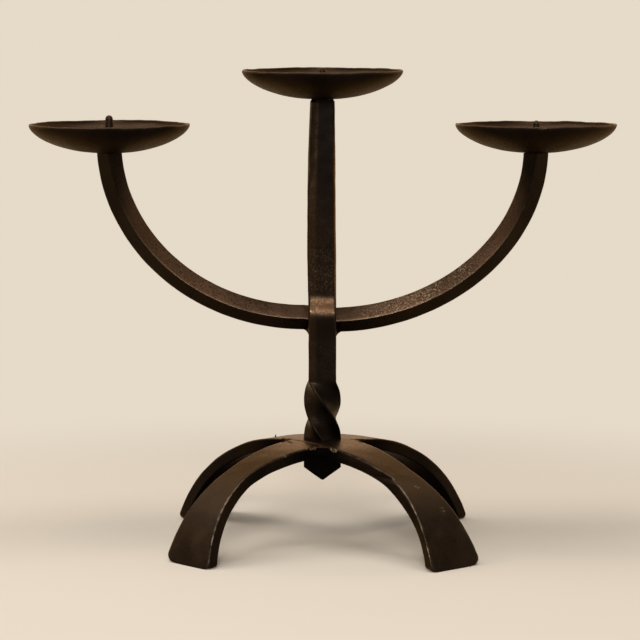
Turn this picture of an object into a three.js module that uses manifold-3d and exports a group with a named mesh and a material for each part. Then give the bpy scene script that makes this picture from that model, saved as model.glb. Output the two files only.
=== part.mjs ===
// Hand-forged three-light candelabra: a square stem through a crossing of two arched leg bars,
// one square bar on edge through an eye in the stem as its arms, and three dished pricket pans.
// Millimetres and degrees. Z is up and X runs along the arms. Angles turn from +X towards +Y.

import * as THREE from 'three';
import { mergeVertices } from 'three/addons/utils/BufferGeometryUtils.js';
import Module from 'manifold-3d';

// Fits
const FIT_GAP = 0.3;
const SHARP_EDGE = 0.05;

// Stem: square bar, hammered in to a neck under the centre pan
const STEM_SIDE = 18.5;
const STEM_SWELL_SIDE = 19.3;
const STEM_SWELL_HEIGHT = 190;
const STEM_UPPER_SIDE = 18.4;
const STEM_UPPER_HEIGHT = 258;
const STEM_NECK_SIDE = 16.4;
const STEM_TOP_SIDE = 14.3;
const STEM_TOP = 298.8;
const STEM_NECK_BEVEL = 1.7;
const STEM_BOW_LEFT = 0.6;
const STEM_CHAMFER = 1.2;
const HAMMERED_CHAMFER = 5.4;
const HAMMERED_CHAMFER_RIGHT = 1.8;
const HAMMERED_CHAMFER_END = 238;
const HAMMERED_CHAMFER_FADE = 14;

// Eye that the arm bar passes through
const EYE_BULGE = 3.7;
const EYE_HALF_LENGTH = 21;

// Twist above the feet, and the pointed end below them
const TWIST_TOP = 109;
const TWIST_ANGLE = 135;
const TWIST_RUN_OUT = 1.2;
const STEM_BELOW_CROWN = 11.2;
const POINT_LENGTH = 8.6;
const POINT_TIP_SIDE = 1.2;

// Arm bar. Each half starts level at the bar's height and its own lift, runs straight out of the
// eye, and then sweeps up to its seat as a part of an ellipse. The weld under it hangs below the
// bar by its drop.
const ARM_SIDE = 12;
const ARM_CHAMFER = 0.8;
const ARM_HEIGHT = 151;
const ARM_SEAT_HEIGHT = 262.9;
const ARM_LEFT = { reach: 142.8, rise: 117.7, straight: 12.5, lift: 1.3, weldDrop: 4.6, weldWidth: 2.5 };
const ARM_RIGHT = { reach: 143, rise: 116, straight: 5.3, lift: -0.6, weldDrop: 2.7, weldWidth: 2 };
const ARM_WELD_LENGTH = 10;

// Pans
const PAN_RADIUS = 53.8;
const PAN_DEPTH = 18.4;
const PAN_FLAT_RADIUS = 8.6;
const PAN_WALL = 2.2;
const PAN_RIM_CROWN = 0.4;
const PAN_CURVE_POWER = 1.7;

// Prickets: a round shank out of the bar end, up through the pan and tapered into a spike above it
const SHANK_RADIUS = 3.1;
const SHANK_DEPTH = 12;
const SHANK_TIP_BEVEL = 0.6;
const PRICKET_LEFT = { height: 22.5, tipRadius: 2.5 };
const PRICKET_CENTER = { height: 18, tipRadius: 1.5 };
const PRICKET_RIGHT = { height: 18.5, tipRadius: 0.9 };

// Leg bars: two arched flats halved into each other under the stem. The arch is a cubic curve
// from the crown over the knee down to the foot, the same for all four legs but for its reach.
const CROWN_TOP = 69.1;
const LEG_THICKNESS = 8;
const LEG_CHAMFER = 1;
const LEG_REACH = 126.5;
const LEG_CROWN_HANDLE = 60.8;
const LEG_KNEE_REACH = 112.4;
const LEG_KNEE_HEIGHT = 52.8;
const CROWN_HALF_WIDTH = 15.6;
const CROWN_EYE_LENGTH = 18;
const LEG_BEND_LENGTH = 24;
const WAIST_HALF_WIDTH = 11.1;
const WAIST_DISTANCE = 80;
const FOOT_FLARE_POWER = 1.2;
const FOOT_CORNER_RADIUS = 4.5;

// The legs, forged by hand: each one's direction, how much further it reaches than the arch, its
// half width at the foot, and how far the foot is set over anticlockwise
const LEG_BACK_RIGHT = { angle: 46.3, extraReach: -0.7, footHalfWidth: 21.5, footSet: -0.6 };
const LEG_BACK_LEFT = { angle: 132.8, extraReach: -0.7, footHalfWidth: 22, footSet: 1 };
const LEG_FRONT_LEFT = { angle: 224, extraReach: -1.5, footHalfWidth: 20.2, footSet: 1.8 };
const LEG_FRONT_RIGHT = { angle: 310.3, extraReach: 5, footHalfWidth: 21, footSet: 3.2 };

// Welds in the notches of the crown
const CROWN_WELD_RADIUS = 10.5;
const CROWN_WELD_SINK = 1.4;

// Fineness of the facets
const RING_STEP = 6;
const TWIST_STEP_ANGLE = 7.5;
const ARM_STEPS = 26;
const PAN_STEPS = 9;
const PAN_SEGMENTS = 48;
const PRICKET_SEGMENTS = 20;
const CORNER_STEPS = 5;

// Heights that follow from these
const EYE_HEIGHT = ARM_HEIGHT + (ARM_LEFT.lift + ARM_RIGHT.lift) / 2;
const CROWN_UNDERSIDE = CROWN_TOP - LEG_THICKNESS;
const CROWN_MIDDLE = CROWN_TOP - LEG_THICKNESS / 2;
const TWIST_BOTTOM = CROWN_TOP + TWIST_RUN_OUT;
const POINT_TOP = CROWN_UNDERSIDE - STEM_BELOW_CROWN;
const POINT_BOTTOM = POINT_TOP - POINT_LENGTH;

const wasm = await Module();
wasm.setup();

const radians = THREE.MathUtils.degToRad;
const smooth = THREE.MathUtils.smoothstep;
const mix = THREE.MathUtils.lerp;

// Solids

// Closed body through rings of points; each ring turns anticlockwise about the direction of travel
function loft(rings) {
  const count = rings[0].length;
  const faces = [];
  for (let ring = 0; ring < rings.length - 1; ring += 1) {
    for (let side = 0; side < count; side += 1) {
      const near = ring * count + side;
      const next = ring * count + ((side + 1) % count);
      faces.push(near, next, next + count, near, next + count, near + count);
    }
  }
  const last = (rings.length - 1) * count;
  for (let side = 1; side < count - 1; side += 1) {
    faces.push(0, side + 1, side);
    faces.push(last, last + side, last + side + 1);
  }
  const geometry = new THREE.BufferGeometry().setFromPoints(rings.flat());
  geometry.setIndex(faces);
  return geometry;
}

function toSolid(geometry) {
  const bare = geometry.clone();
  bare.deleteAttribute('normal');
  bare.deleteAttribute('uv');
  const merged = mergeVertices(bare);
  const vertProperties = new Float32Array(merged.attributes.position.array);
  const triVerts = new Uint32Array(merged.index.array);
  return new wasm.Manifold(new wasm.Mesh({ numProp: 3, vertProperties, triVerts }));
}

function toGeometry(solid) {
  const mesh = solid.getMesh();
  const geometry = new THREE.BufferGeometry();
  geometry.setAttribute('position', new THREE.BufferAttribute(mesh.vertProperties, mesh.numProp));
  geometry.setIndex(new THREE.BufferAttribute(mesh.triVerts, 1));
  return geometry;
}

function cut(geometry, ...cutters) {
  const solid = cutters.reduce((body, cutter) => body.subtract(toSolid(cutter)), toSolid(geometry));
  return toGeometry(solid);
}

// Outline of a rectangle with its corners cut, anticlockwise from the lower right
function chamferedRectangle(left, right, bottom, top, cuts) {
  const [lowRight, highRight, highLeft, lowLeft] = cuts;
  return [
    [right - lowRight, bottom],
    [right, bottom + lowRight],
    [right, top - highRight],
    [right - highRight, top],
    [left + highLeft, top],
    [left, top - highLeft],
    [left, bottom + lowLeft],
    [left + lowLeft, bottom],
  ];
}

// The outline's points laid out from a centre along two directions
function ring(center, across, outward, outline) {
  return outline.map(([aside, out]) => (
    center.clone().addScaledVector(across, aside).addScaledVector(outward, out)
  ));
}

// Even steps from low up to high, without high itself
function stepsBetween(low, high, step) {
  const count = Math.max(1, Math.ceil((high - low) / step));
  return Array.from({ length: count }, (unused, index) => mix(low, high, index / count));
}

// A lathe's axis laid upright
function upright(geometry) {
  return geometry.rotateX(Math.PI / 2);
}

// Stem

function stemHalfSide(height) {
  const stations = [
    [EYE_HEIGHT, STEM_SIDE],
    [STEM_SWELL_HEIGHT, STEM_SWELL_SIDE],
    [STEM_UPPER_HEIGHT, STEM_UPPER_SIDE],
    [STEM_TOP - STEM_NECK_BEVEL, STEM_NECK_SIDE],
    [STEM_TOP, STEM_TOP_SIDE],
  ];
  if (height <= EYE_HEIGHT) return STEM_SIDE / 2;
  const above = stations.findIndex(([station]) => station > height);
  if (above < 0) return STEM_TOP_SIDE / 2;
  const [low, lowSide] = stations[above - 1];
  const [high, highSide] = stations[above];
  return mix(lowSide, highSide, (height - low) / (high - low)) / 2;
}

// The bar is not quite straight between the eye and its top
function stemCenter(height) {
  const share = THREE.MathUtils.clamp((height - EYE_HEIGHT) / (STEM_TOP - EYE_HEIGHT), 0, 1);
  return new THREE.Vector3(-STEM_BOW_LEFT * Math.sin(Math.PI * share), 0, height);
}

function eyeBulge(height) {
  const offset = Math.min(1, Math.abs(height - EYE_HEIGHT) / EYE_HALF_LENGTH);
  return EYE_BULGE * Math.cos((offset * Math.PI) / 2) ** 2;
}

function twistAngle(height) {
  const share = THREE.MathUtils.clamp((TWIST_TOP - height) / (TWIST_TOP - TWIST_BOTTOM), 0, 1);
  return radians(TWIST_ANGLE * share);
}

// Corner cuts of the section, wide on the hammered length under the centre pan
function stemCorners(height) {
  const fade = smooth(height, HAMMERED_CHAMFER_END, HAMMERED_CHAMFER_END + HAMMERED_CHAMFER_FADE);
  const frontRight = mix(STEM_CHAMFER, HAMMERED_CHAMFER_RIGHT, fade);
  const onLeft = mix(STEM_CHAMFER, HAMMERED_CHAMFER, fade);
  const backRight = (frontRight + onLeft) / 2;
  return [frontRight, backRight, onLeft, onLeft];
}

function stemRing(height, halfSide, cuts) {
  const depth = halfSide + eyeBulge(height);
  const turn = twistAngle(height);
  const across = new THREE.Vector3(Math.cos(turn), Math.sin(turn), 0);
  const outward = new THREE.Vector3(-Math.sin(turn), Math.cos(turn), 0);
  const outline = chamferedRectangle(-halfSide, halfSide, -depth, depth, cuts);
  return ring(stemCenter(height), across, outward, outline);
}

function stemBody() {
  const tipScale = POINT_TIP_SIDE / STEM_SIDE;
  const pointCuts = Array(4).fill(STEM_CHAMFER);
  const point = [
    stemRing(POINT_BOTTOM, POINT_TIP_SIDE / 2, pointCuts.map((size) => size * tipScale)),
    stemRing(POINT_TOP, STEM_SIDE / 2, pointCuts),
  ];
  const neck = STEM_TOP - STEM_NECK_BEVEL;
  const eyeBottom = EYE_HEIGHT - EYE_HALF_LENGTH;
  const eyeTop = EYE_HEIGHT + EYE_HALF_LENGTH;
  const twistStep = (TWIST_TOP - TWIST_BOTTOM) / (TWIST_ANGLE / TWIST_STEP_ANGLE);
  const heights = [
    ...stepsBetween(TWIST_BOTTOM, TWIST_TOP, twistStep),
    ...stepsBetween(TWIST_TOP, eyeBottom, RING_STEP),
    ...stepsBetween(eyeBottom, eyeTop, RING_STEP / 2),
    ...stepsBetween(eyeTop, HAMMERED_CHAMFER_END, RING_STEP),
    ...stepsBetween(HAMMERED_CHAMFER_END, neck, RING_STEP),
    neck,
    STEM_TOP,
  ];
  return loft([
    ...point,
    ...heights.map((height) => stemRing(height, stemHalfSide(height), stemCorners(height))),
  ]);
}

// Arm bar

// Centres and directions along half the bar, from the eye out; the side is -1 at the left, 1 at the right
function armStations(arm, side) {
  const start = ARM_HEIGHT + arm.lift;
  const climb = ARM_SEAT_HEIGHT - start;
  const endAngle = Math.acos(Math.max(0, 1 - climb / arm.rise));
  const sweep = arm.reach - arm.straight;
  return Array.from({ length: ARM_STEPS + 1 }, (unused, index) => {
    const angle = (endAngle * index) / ARM_STEPS;
    const x = side * (arm.straight + sweep * Math.sin(angle));
    const z = start + arm.rise * (1 - Math.cos(angle));
    const tangent = new THREE.Vector3(sweep * Math.cos(angle), 0, side * arm.rise * Math.sin(angle));
    return { center: new THREE.Vector3(x, 0, z), tangent: tangent.normalize() };
  });
}

// Square on its corner with its corners cut, anticlockwise from the right
function diamond(halfDiagonal, chamfer) {
  const step = chamfer / Math.SQRT2;
  const inner = halfDiagonal - step;
  return [
    [inner, -step],
    [inner, step],
    [step, inner],
    [-step, inner],
    [-inner, step],
    [-inner, -step],
    [-step, -inner],
    [step, -inner],
  ];
}

// The bar from its left end down, through the stem and up to its right end, grown all round by a gap
function armBody(gap) {
  const back = new THREE.Vector3(0, 1, 0);
  const outline = diamond(ARM_SIDE / Math.SQRT2 + gap * Math.SQRT2, ARM_CHAMFER);
  const left = armStations(ARM_LEFT, -1).reverse();
  const right = armStations(ARM_RIGHT, 1);
  left[0].tangent.set(0, 0, -1);
  right[right.length - 1].tangent.set(0, 0, 1);
  const rings = [...left, ...right].map(({ center, tangent }) => {
    const outward = new THREE.Vector3(-tangent.z, 0, tangent.x);
    return ring(center, back, outward, outline);
  });
  return loft(rings);
}

function armSeat(arm, side) {
  return armStations(arm, side).pop().center;
}

// Pans and prickets

// Round hole for a pricket's shank, down into a bar end from its seat
function shankHole(seat) {
  const reach = SHANK_DEPTH + FIT_GAP;
  const radius = SHANK_RADIUS + FIT_GAP;
  const hole = upright(new THREE.CylinderGeometry(radius, radius, 2 * reach, PRICKET_SEGMENTS));
  return hole.translate(seat.x, seat.y, seat.z);
}

// From the edge of the flat bottom out and up to the rim, flatter in the middle than a circle
function dishCurve(rimRadius, depth) {
  const power = 2 / PAN_CURVE_POWER;
  return Array.from({ length: PAN_STEPS + 1 }, (unused, index) => {
    const angle = (Math.PI / 2) * (index / PAN_STEPS);
    const radius = mix(PAN_FLAT_RADIUS, rimRadius, Math.sin(angle) ** power);
    return new THREE.Vector2(radius, PAN_DEPTH - depth * Math.abs(Math.cos(angle)) ** power);
  });
}

function panBody() {
  const bore = SHANK_RADIUS + FIT_GAP;
  const profile = [
    new THREE.Vector2(bore, 0),
    ...dishCurve(PAN_RADIUS, PAN_DEPTH),
    new THREE.Vector2(PAN_RADIUS - PAN_WALL / 2, PAN_DEPTH + PAN_RIM_CROWN),
    ...dishCurve(PAN_RADIUS - PAN_WALL, PAN_DEPTH - PAN_WALL).reverse(),
    new THREE.Vector2(bore, PAN_WALL),
    new THREE.Vector2(bore, 0),
  ];
  return upright(new THREE.LatheGeometry(profile, PAN_SEGMENTS));
}

// Heights are above the pan's underside, which rests on the bar end
function pricketBody({ height, tipRadius }) {
  const shoulder = PAN_WALL + FIT_GAP;
  const tip = shoulder + height;
  const dome = tipRadius / Math.SQRT2;
  const profile = [
    new THREE.Vector2(0, -SHANK_DEPTH),
    new THREE.Vector2(SHANK_RADIUS - SHANK_TIP_BEVEL, -SHANK_DEPTH),
    new THREE.Vector2(SHANK_RADIUS, -SHANK_DEPTH + SHANK_TIP_BEVEL),
    new THREE.Vector2(SHANK_RADIUS, shoulder),
    new THREE.Vector2(tipRadius, tip - tipRadius),
    new THREE.Vector2(dome, tip - tipRadius + dome),
    new THREE.Vector2(0, tip),
  ];
  return upright(new THREE.LatheGeometry(profile, PRICKET_SEGMENTS));
}

// Leg bars

function legCurve(extraReach) {
  const reach = LEG_REACH + extraReach;
  const stretch = reach / LEG_REACH;
  return new THREE.CubicBezierCurve(
    new THREE.Vector2(0, CROWN_TOP),
    new THREE.Vector2(LEG_CROWN_HANDLE * stretch, CROWN_TOP),
    new THREE.Vector2(LEG_KNEE_REACH * stretch, LEG_KNEE_HEIGHT),
    new THREE.Vector2(reach, 0),
  );
}

// How far a place along the leg is through the flare of its foot, from 0 at the waist to 1
function footFlare(distance, length) {
  return Math.max(0, (distance - WAIST_DISTANCE) / (length - WAIST_DISTANCE)) ** FOOT_FLARE_POWER;
}

function legHalfWidth(leg, distance, length) {
  const waist = mix(CROWN_HALF_WIDTH, WAIST_HALF_WIDTH, smooth(distance, CROWN_EYE_LENGTH, WAIST_DISTANCE));
  const flared = waist + (leg.footHalfWidth - WAIST_HALF_WIDTH) * footFlare(distance, length);
  const intoCorner = Math.max(0, distance - length + FOOT_CORNER_RADIUS) / FOOT_CORNER_RADIUS;
  return flared - FOOT_CORNER_RADIUS * (1 - Math.sqrt(Math.max(0, 1 - intoCorner ** 2)));
}

// Distances along a leg of this length, close together where its end is rounded
function legDistances(length) {
  const cornerStart = length - FOOT_CORNER_RADIUS;
  const corner = Array.from({ length: CORNER_STEPS + 1 }, (unused, index) => (
    cornerStart + FOOT_CORNER_RADIUS * Math.sin((Math.PI / 2) * (index / CORNER_STEPS))
  ));
  return [...stepsBetween(0, cornerStart, RING_STEP), ...corner];
}

// Rings from the crown out to the foot. The end ring lies level on the table. The bar goes
// through the crown at its own angle and bends to the leg's angle once it is past the crossing.
function legRings(leg, crownAngle, gap, chamfer) {
  const curve = legCurve(leg.extraReach);
  const length = curve.getLength();
  return legDistances(length).map((distance) => {
    const point = curve.getPointAt(distance / length);
    const tangent = curve.getTangentAt(distance / length);
    const bend = smooth(distance, CROWN_EYE_LENGTH, CROWN_EYE_LENGTH + LEG_BEND_LENGTH);
    const turn = radians(mix(crownAngle, leg.angle, bend));
    const along = new THREE.Vector3(Math.cos(turn), Math.sin(turn), 0);
    const across = new THREE.Vector3(-Math.sin(turn), Math.cos(turn), 0);
    const slant = Math.atan2(tangent.x, -tangent.y);
    const tilt = mix(slant, 0, smooth(distance, length - LEG_THICKNESS, length));
    const normal = along.clone().multiplyScalar(Math.cos(tilt)).setZ(Math.sin(tilt));
    const center = along.clone().multiplyScalar(point.x).setZ(point.y);
    center.addScaledVector(across, leg.footSet * footFlare(distance, length));
    const half = legHalfWidth(leg, distance, length) + gap;
    const thickness = LEG_THICKNESS / Math.cos(slant - tilt);
    const outline = chamferedRectangle(-half, half, -thickness - gap, gap, Array(4).fill(chamfer));
    return ring(center, across, normal, outline);
  });
}

// Angle at which a bar goes through the crown, midway between its back leg and its front leg
function crownAngle(backLeg, frontLeg) {
  return (backLeg.angle + frontLeg.angle - 180) / 2;
}

// A whole arched bar from foot to foot, grown all round by a gap. It is lofted from its front to
// its back, so the rings of the front leg are taken the other way round.
function legBody(backLeg, frontLeg, gap, chamfer) {
  const angle = crownAngle(backLeg, frontLeg);
  const back = legRings(backLeg, angle, gap, chamfer).slice(1);
  const front = legRings(frontLeg, angle + 180, gap, chamfer).reverse();
  return loft([...front.map((points) => points.reverse()), ...back]);
}

const lowerLegBody = (gap, chamfer) => legBody(LEG_BACK_RIGHT, LEG_FRONT_LEFT, gap, chamfer);
const upperLegBody = (gap, chamfer) => legBody(LEG_BACK_LEFT, LEG_FRONT_RIGHT, gap, chamfer);
const LOWER_ANGLE = crownAngle(LEG_BACK_RIGHT, LEG_FRONT_LEFT);
const UPPER_ANGLE = crownAngle(LEG_BACK_LEFT, LEG_FRONT_RIGHT);

// Square hole for the stem through both bars
function stemHole() {
  const side = STEM_SIDE + 2 * FIT_GAP;
  const hole = new THREE.BoxGeometry(side, side, 4 * LEG_THICKNESS);
  return hole.translate(0, 0, CROWN_MIDDLE).rotateZ(radians(TWIST_ANGLE));
}

// Room for the other bar in a halved joint, above the middle of the crown (1) or below it (-1)
function lapPocket(otherAngle, side) {
  const height = 2 * LEG_THICKNESS;
  const width = 2 * (CROWN_HALF_WIDTH + FIT_GAP);
  const pocket = new THREE.BoxGeometry(2 * width, width, height);
  const middle = CROWN_MIDDLE + (side * (height - FIT_GAP)) / 2;
  return pocket.translate(0, 0, middle).rotateZ(radians(otherAngle));
}

function lowerLegBar() {
  return cut(lowerLegBody(0, LEG_CHAMFER), lapPocket(UPPER_ANGLE, 1), stemHole());
}

function upperLegBar() {
  return cut(upperLegBody(0, LEG_CHAMFER), lapPocket(LOWER_ANGLE, -1), stemHole());
}

// Welds

// Hollow fillet in the notch between two legs, facing the direction between their angles
function crownWeld(firstAngle, secondAngle) {
  const middle = radians((firstAngle + secondAngle) / 2);
  const half = radians((secondAngle - firstAngle) / 2);
  const corner = CROWN_HALF_WIDTH / Math.sin(half);
  const hollow = corner + CROWN_WELD_RADIUS / Math.sin(half);
  const sweep = Math.PI / 2 - half;
  const shape = new THREE.Shape();
  shape.moveTo(corner - CROWN_HALF_WIDTH / 2, 0);
  for (let step = 0; step <= 2 * CORNER_STEPS; step += 1) {
    const angle = Math.PI + mix(sweep, -sweep, step / (2 * CORNER_STEPS));
    shape.lineTo(hollow + CROWN_WELD_RADIUS * Math.cos(angle), CROWN_WELD_RADIUS * Math.sin(angle));
  }
  shape.closePath();
  const depth = LEG_THICKNESS - 2 * CROWN_WELD_SINK;
  const block = new THREE.ExtrudeGeometry(shape, { depth, bevelEnabled: false, steps: 1 });
  block.translate(0, 0, CROWN_UNDERSIDE + CROWN_WELD_SINK).rotateZ(middle);
  return cut(block, lowerLegBody(FIT_GAP, SHARP_EDGE), upperLegBody(FIT_GAP, SHARP_EDGE));
}

// Bead in the corner under an arm where it leaves the stem
function armWeld(arm, side) {
  const inner = STEM_SIDE / 2 + FIT_GAP;
  const barBottom = ARM_HEIGHT + arm.lift - ARM_SIDE / Math.SQRT2;
  const bottom = barBottom - arm.weldDrop;
  const shape = new THREE.Shape();
  shape.moveTo(inner, bottom);
  shape.lineTo(inner + arm.weldWidth, barBottom);
  shape.lineTo(inner + arm.weldWidth, barBottom + arm.weldWidth);
  shape.lineTo(inner, barBottom + arm.weldWidth);
  shape.closePath();
  const block = new THREE.ExtrudeGeometry(shape, { depth: ARM_WELD_LENGTH, bevelEnabled: false, steps: 1 });
  block.rotateX(Math.PI / 2).translate(0, ARM_WELD_LENGTH / 2, 0);
  if (side < 0) block.rotateZ(Math.PI);
  return cut(block, armBody(FIT_GAP));
}

// Assembly

function finish(color, roughness, metalness) {
  return new THREE.MeshStandardMaterial({ color, roughness, metalness });
}

const blackenedIron = () => finish('#2a2420', 0.55, 0.85);
const panIron = () => finish('#241e1a', 0.6, 0.85);
const weldIron = () => finish('#332b25', 0.7, 0.8);

function named(name, geometry, material) {
  const mesh = new THREE.Mesh(geometry, material);
  mesh.name = name;
  return mesh;
}

// A pan resting on its seat, with its pricket
function light(place, seat, spike) {
  const group = new THREE.Group();
  group.position.set(seat.x, seat.y, seat.z + FIT_GAP);
  group.add(named(`pan_${place}`, panBody(), panIron()));
  group.add(named(`pricket_${place}`, pricketBody(spike), blackenedIron()));
  return group;
}

const leftSeat = armSeat(ARM_LEFT, -1);
const rightSeat = armSeat(ARM_RIGHT, 1);
const stemSeat = new THREE.Vector3(0, 0, STEM_TOP);
const stem = cut(stemBody(), armBody(FIT_GAP), shankHole(stemSeat));
const armBar = cut(armBody(0), shankHole(leftSeat), shankHole(rightSeat));

const candelabra = new THREE.Group();
candelabra.name = 'candelabra';
candelabra.add(named('stem', stem, blackenedIron()));
candelabra.add(named('arm_bar', armBar, blackenedIron()));
candelabra.add(named('leg_bar_lower', lowerLegBar(), blackenedIron()));
candelabra.add(named('leg_bar_upper', upperLegBar(), blackenedIron()));
candelabra.add(named('crown_weld_back', crownWeld(LOWER_ANGLE, UPPER_ANGLE), weldIron()));
candelabra.add(named('crown_weld_left', crownWeld(UPPER_ANGLE, LOWER_ANGLE + 180), weldIron()));
candelabra.add(named('crown_weld_front', crownWeld(LOWER_ANGLE + 180, UPPER_ANGLE + 180), weldIron()));
candelabra.add(named('crown_weld_right', crownWeld(UPPER_ANGLE + 180, LOWER_ANGLE + 360), weldIron()));
candelabra.add(named('arm_weld_left', armWeld(ARM_LEFT, -1), weldIron()));
candelabra.add(named('arm_weld_right', armWeld(ARM_RIGHT, 1), weldIron()));
candelabra.add(light('left', leftSeat, PRICKET_LEFT));
candelabra.add(light('center', stemSeat, PRICKET_CENTER));
candelabra.add(light('right', rightSeat, PRICKET_RIGHT));

// The frame's origin is on the table, under the middle of the whole candelabra
const middle = new THREE.Box3().setFromObject(candelabra).getCenter(new THREE.Vector3());
candelabra.position.set(-middle.x, -middle.y, 0);

export default candelabra;
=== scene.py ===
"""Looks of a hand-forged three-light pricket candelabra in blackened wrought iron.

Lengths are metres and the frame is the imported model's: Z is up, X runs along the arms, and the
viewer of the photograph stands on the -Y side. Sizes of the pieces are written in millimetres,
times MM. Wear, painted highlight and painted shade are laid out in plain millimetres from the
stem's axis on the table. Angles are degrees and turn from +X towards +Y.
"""

import logging
import math
from dataclasses import dataclass, replace
from enum import Enum, StrEnum
from typing import ClassVar, Iterable, Sequence

import bmesh
import bpy
import numpy as np
from bpy.types import ID, Material, Mesh, Node, NodeSocket, NodeTree, Object, World
from mathutils import Matrix, Vector, noise


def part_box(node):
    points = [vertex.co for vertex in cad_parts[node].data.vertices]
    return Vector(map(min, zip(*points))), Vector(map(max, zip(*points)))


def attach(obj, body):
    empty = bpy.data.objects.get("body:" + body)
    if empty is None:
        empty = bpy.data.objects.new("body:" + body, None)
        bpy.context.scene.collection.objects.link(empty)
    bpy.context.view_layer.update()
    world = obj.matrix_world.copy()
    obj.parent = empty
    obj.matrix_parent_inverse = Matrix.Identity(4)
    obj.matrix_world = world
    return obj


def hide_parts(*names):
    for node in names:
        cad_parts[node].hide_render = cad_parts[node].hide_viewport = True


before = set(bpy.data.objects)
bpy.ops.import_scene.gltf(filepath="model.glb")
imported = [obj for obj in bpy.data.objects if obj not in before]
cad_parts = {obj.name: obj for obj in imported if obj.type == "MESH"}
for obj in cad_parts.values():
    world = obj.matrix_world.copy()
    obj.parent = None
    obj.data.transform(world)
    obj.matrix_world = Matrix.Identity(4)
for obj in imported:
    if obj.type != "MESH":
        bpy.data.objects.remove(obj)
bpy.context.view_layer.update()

log = logging.getLogger("candelabra")

MM = 0.001
BODY = "root"
UP = Vector((0, 0, 1))
# The two values between which a share grows from 0 to 1
Range = tuple[float, float]
# Faces that meet at more than this stay sharp
SHARP_ANGLE = 42
# Points this near become one: on a swept bar, on a turned piece and at the ends of a short edge
BAR_SEAM = 0.002 * MM
ROUND_SEAM = 0.005 * MM
SLIVER = 0.0005 * MM
# Keeps a distance that is divided by from being 0
NEARLY_NONE = 1e-3
# The mean of a noise, and of the two patterns of the hammer marks together
NOISE_LEVEL = 0.5
MARK_LEVEL = 0.95
# Where a colour Mix node has its two colours and its result
COLOR_A, COLOR_B, MIXED = 6, 7, 2


def middle_of(node: str) -> Vector:
    """Returns the middle of a CAD node's box."""
    low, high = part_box(node)
    return (low + high) / 2


STEM_AXIS = Vector((middle_of("pan_center").x, middle_of("pan_center").y, 0))


class Slot(Enum):
    """Material slots of the record."""

    BAR = "blackened_iron"
    PAN = "pan_iron"
    PRICKET = "pricket_iron"
    WELD = "weld_iron"


class Side(Enum):
    """Which way an arm goes from the stem."""

    LEFT = -1
    RIGHT = 1


class Place(StrEnum):
    """Where a pan or a weld is, as the names of the nodes say it."""

    LEFT = "left"
    CENTER = "center"
    RIGHT = "right"
    FRONT = "front"
    BACK = "back"


# Node trees


def linear(hex_color: str) -> tuple[float, float, float, float]:
    """Turns an sRGB hex colour into linear red, green, blue and alpha.

    Args:
        hex_color: Six hex digits after a #.

    Returns:
        The linear colour with full alpha.
    """
    channels = [int(hex_color[start:start + 2], 16) / 255 for start in (1, 3, 5)]
    red, green, blue = [c / 12.92 if c <= 0.04045 else ((c + 0.055) / 1.055) ** 2.4 for c in channels]
    return red, green, blue, 1.0


def add(tree: NodeTree, kind: str, *inputs: object, **settings: object) -> Node:
    """Adds a node with its settings and links.

    Args:
        tree: The tree that gets the node.
        kind: The node's type.
        inputs: What goes into each input in turn: a socket or a node's first output is linked,
            None leaves the input alone, and any other value is set.
        settings: Properties of the node, and "at", a dict of input names or numbers to values.

    Returns:
        The new node.
    """
    node = tree.nodes.new(kind)
    named = settings.pop("at", {})
    for key, value in settings.items():
        setattr(node, key, value)
    for key, value in [*enumerate(inputs), *named.items()]:
        if isinstance(value, Node):
            value = value.outputs[0]
        if isinstance(value, NodeSocket):
            tree.links.new(value, node.inputs[key])
        elif value is not None:
            node.inputs[key].default_value = value
    return node


def fresh_tree(owner: Material | World) -> NodeTree:
    """Starts the node tree of a new material or world.

    Args:
        owner: The material or the world.

    Returns:
        Its tree, without nodes.
    """
    owner.use_nodes = True
    owner.node_tree.nodes.clear()
    return owner.node_tree


def new_geometry_tree(name: str, inputs: dict[str, str]) -> tuple[NodeTree, dict[str, NodeSocket]]:
    """Starts a Geometry Nodes tree with named inputs, those of the hammer marks and the finish last.

    Args:
        name: The tree's name.
        inputs: The inputs that only this tree has: each one's name and the last word of its type.

    Returns:
        The tree, and its input sockets by name, "Geometry" among them.
    """
    inputs = inputs | {"Mark Depth": "Float", "Mark Size": "Float", "Seed": "Float", "Material": "Material"}
    tree = bpy.data.node_groups.new(name, "GeometryNodeTree")
    tree.interface.new_socket("Geometry", in_out="INPUT", socket_type="NodeSocketGeometry")
    tree.interface.new_socket("Geometry", in_out="OUTPUT", socket_type="NodeSocketGeometry")
    for label, kind in inputs.items():
        tree.interface.new_socket(label, in_out="INPUT", socket_type=f"NodeSocket{kind}")
    entry = add(tree, "NodeGroupInput")
    return tree, {label: entry.outputs[label] for label in ("Geometry", *inputs)}


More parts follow.
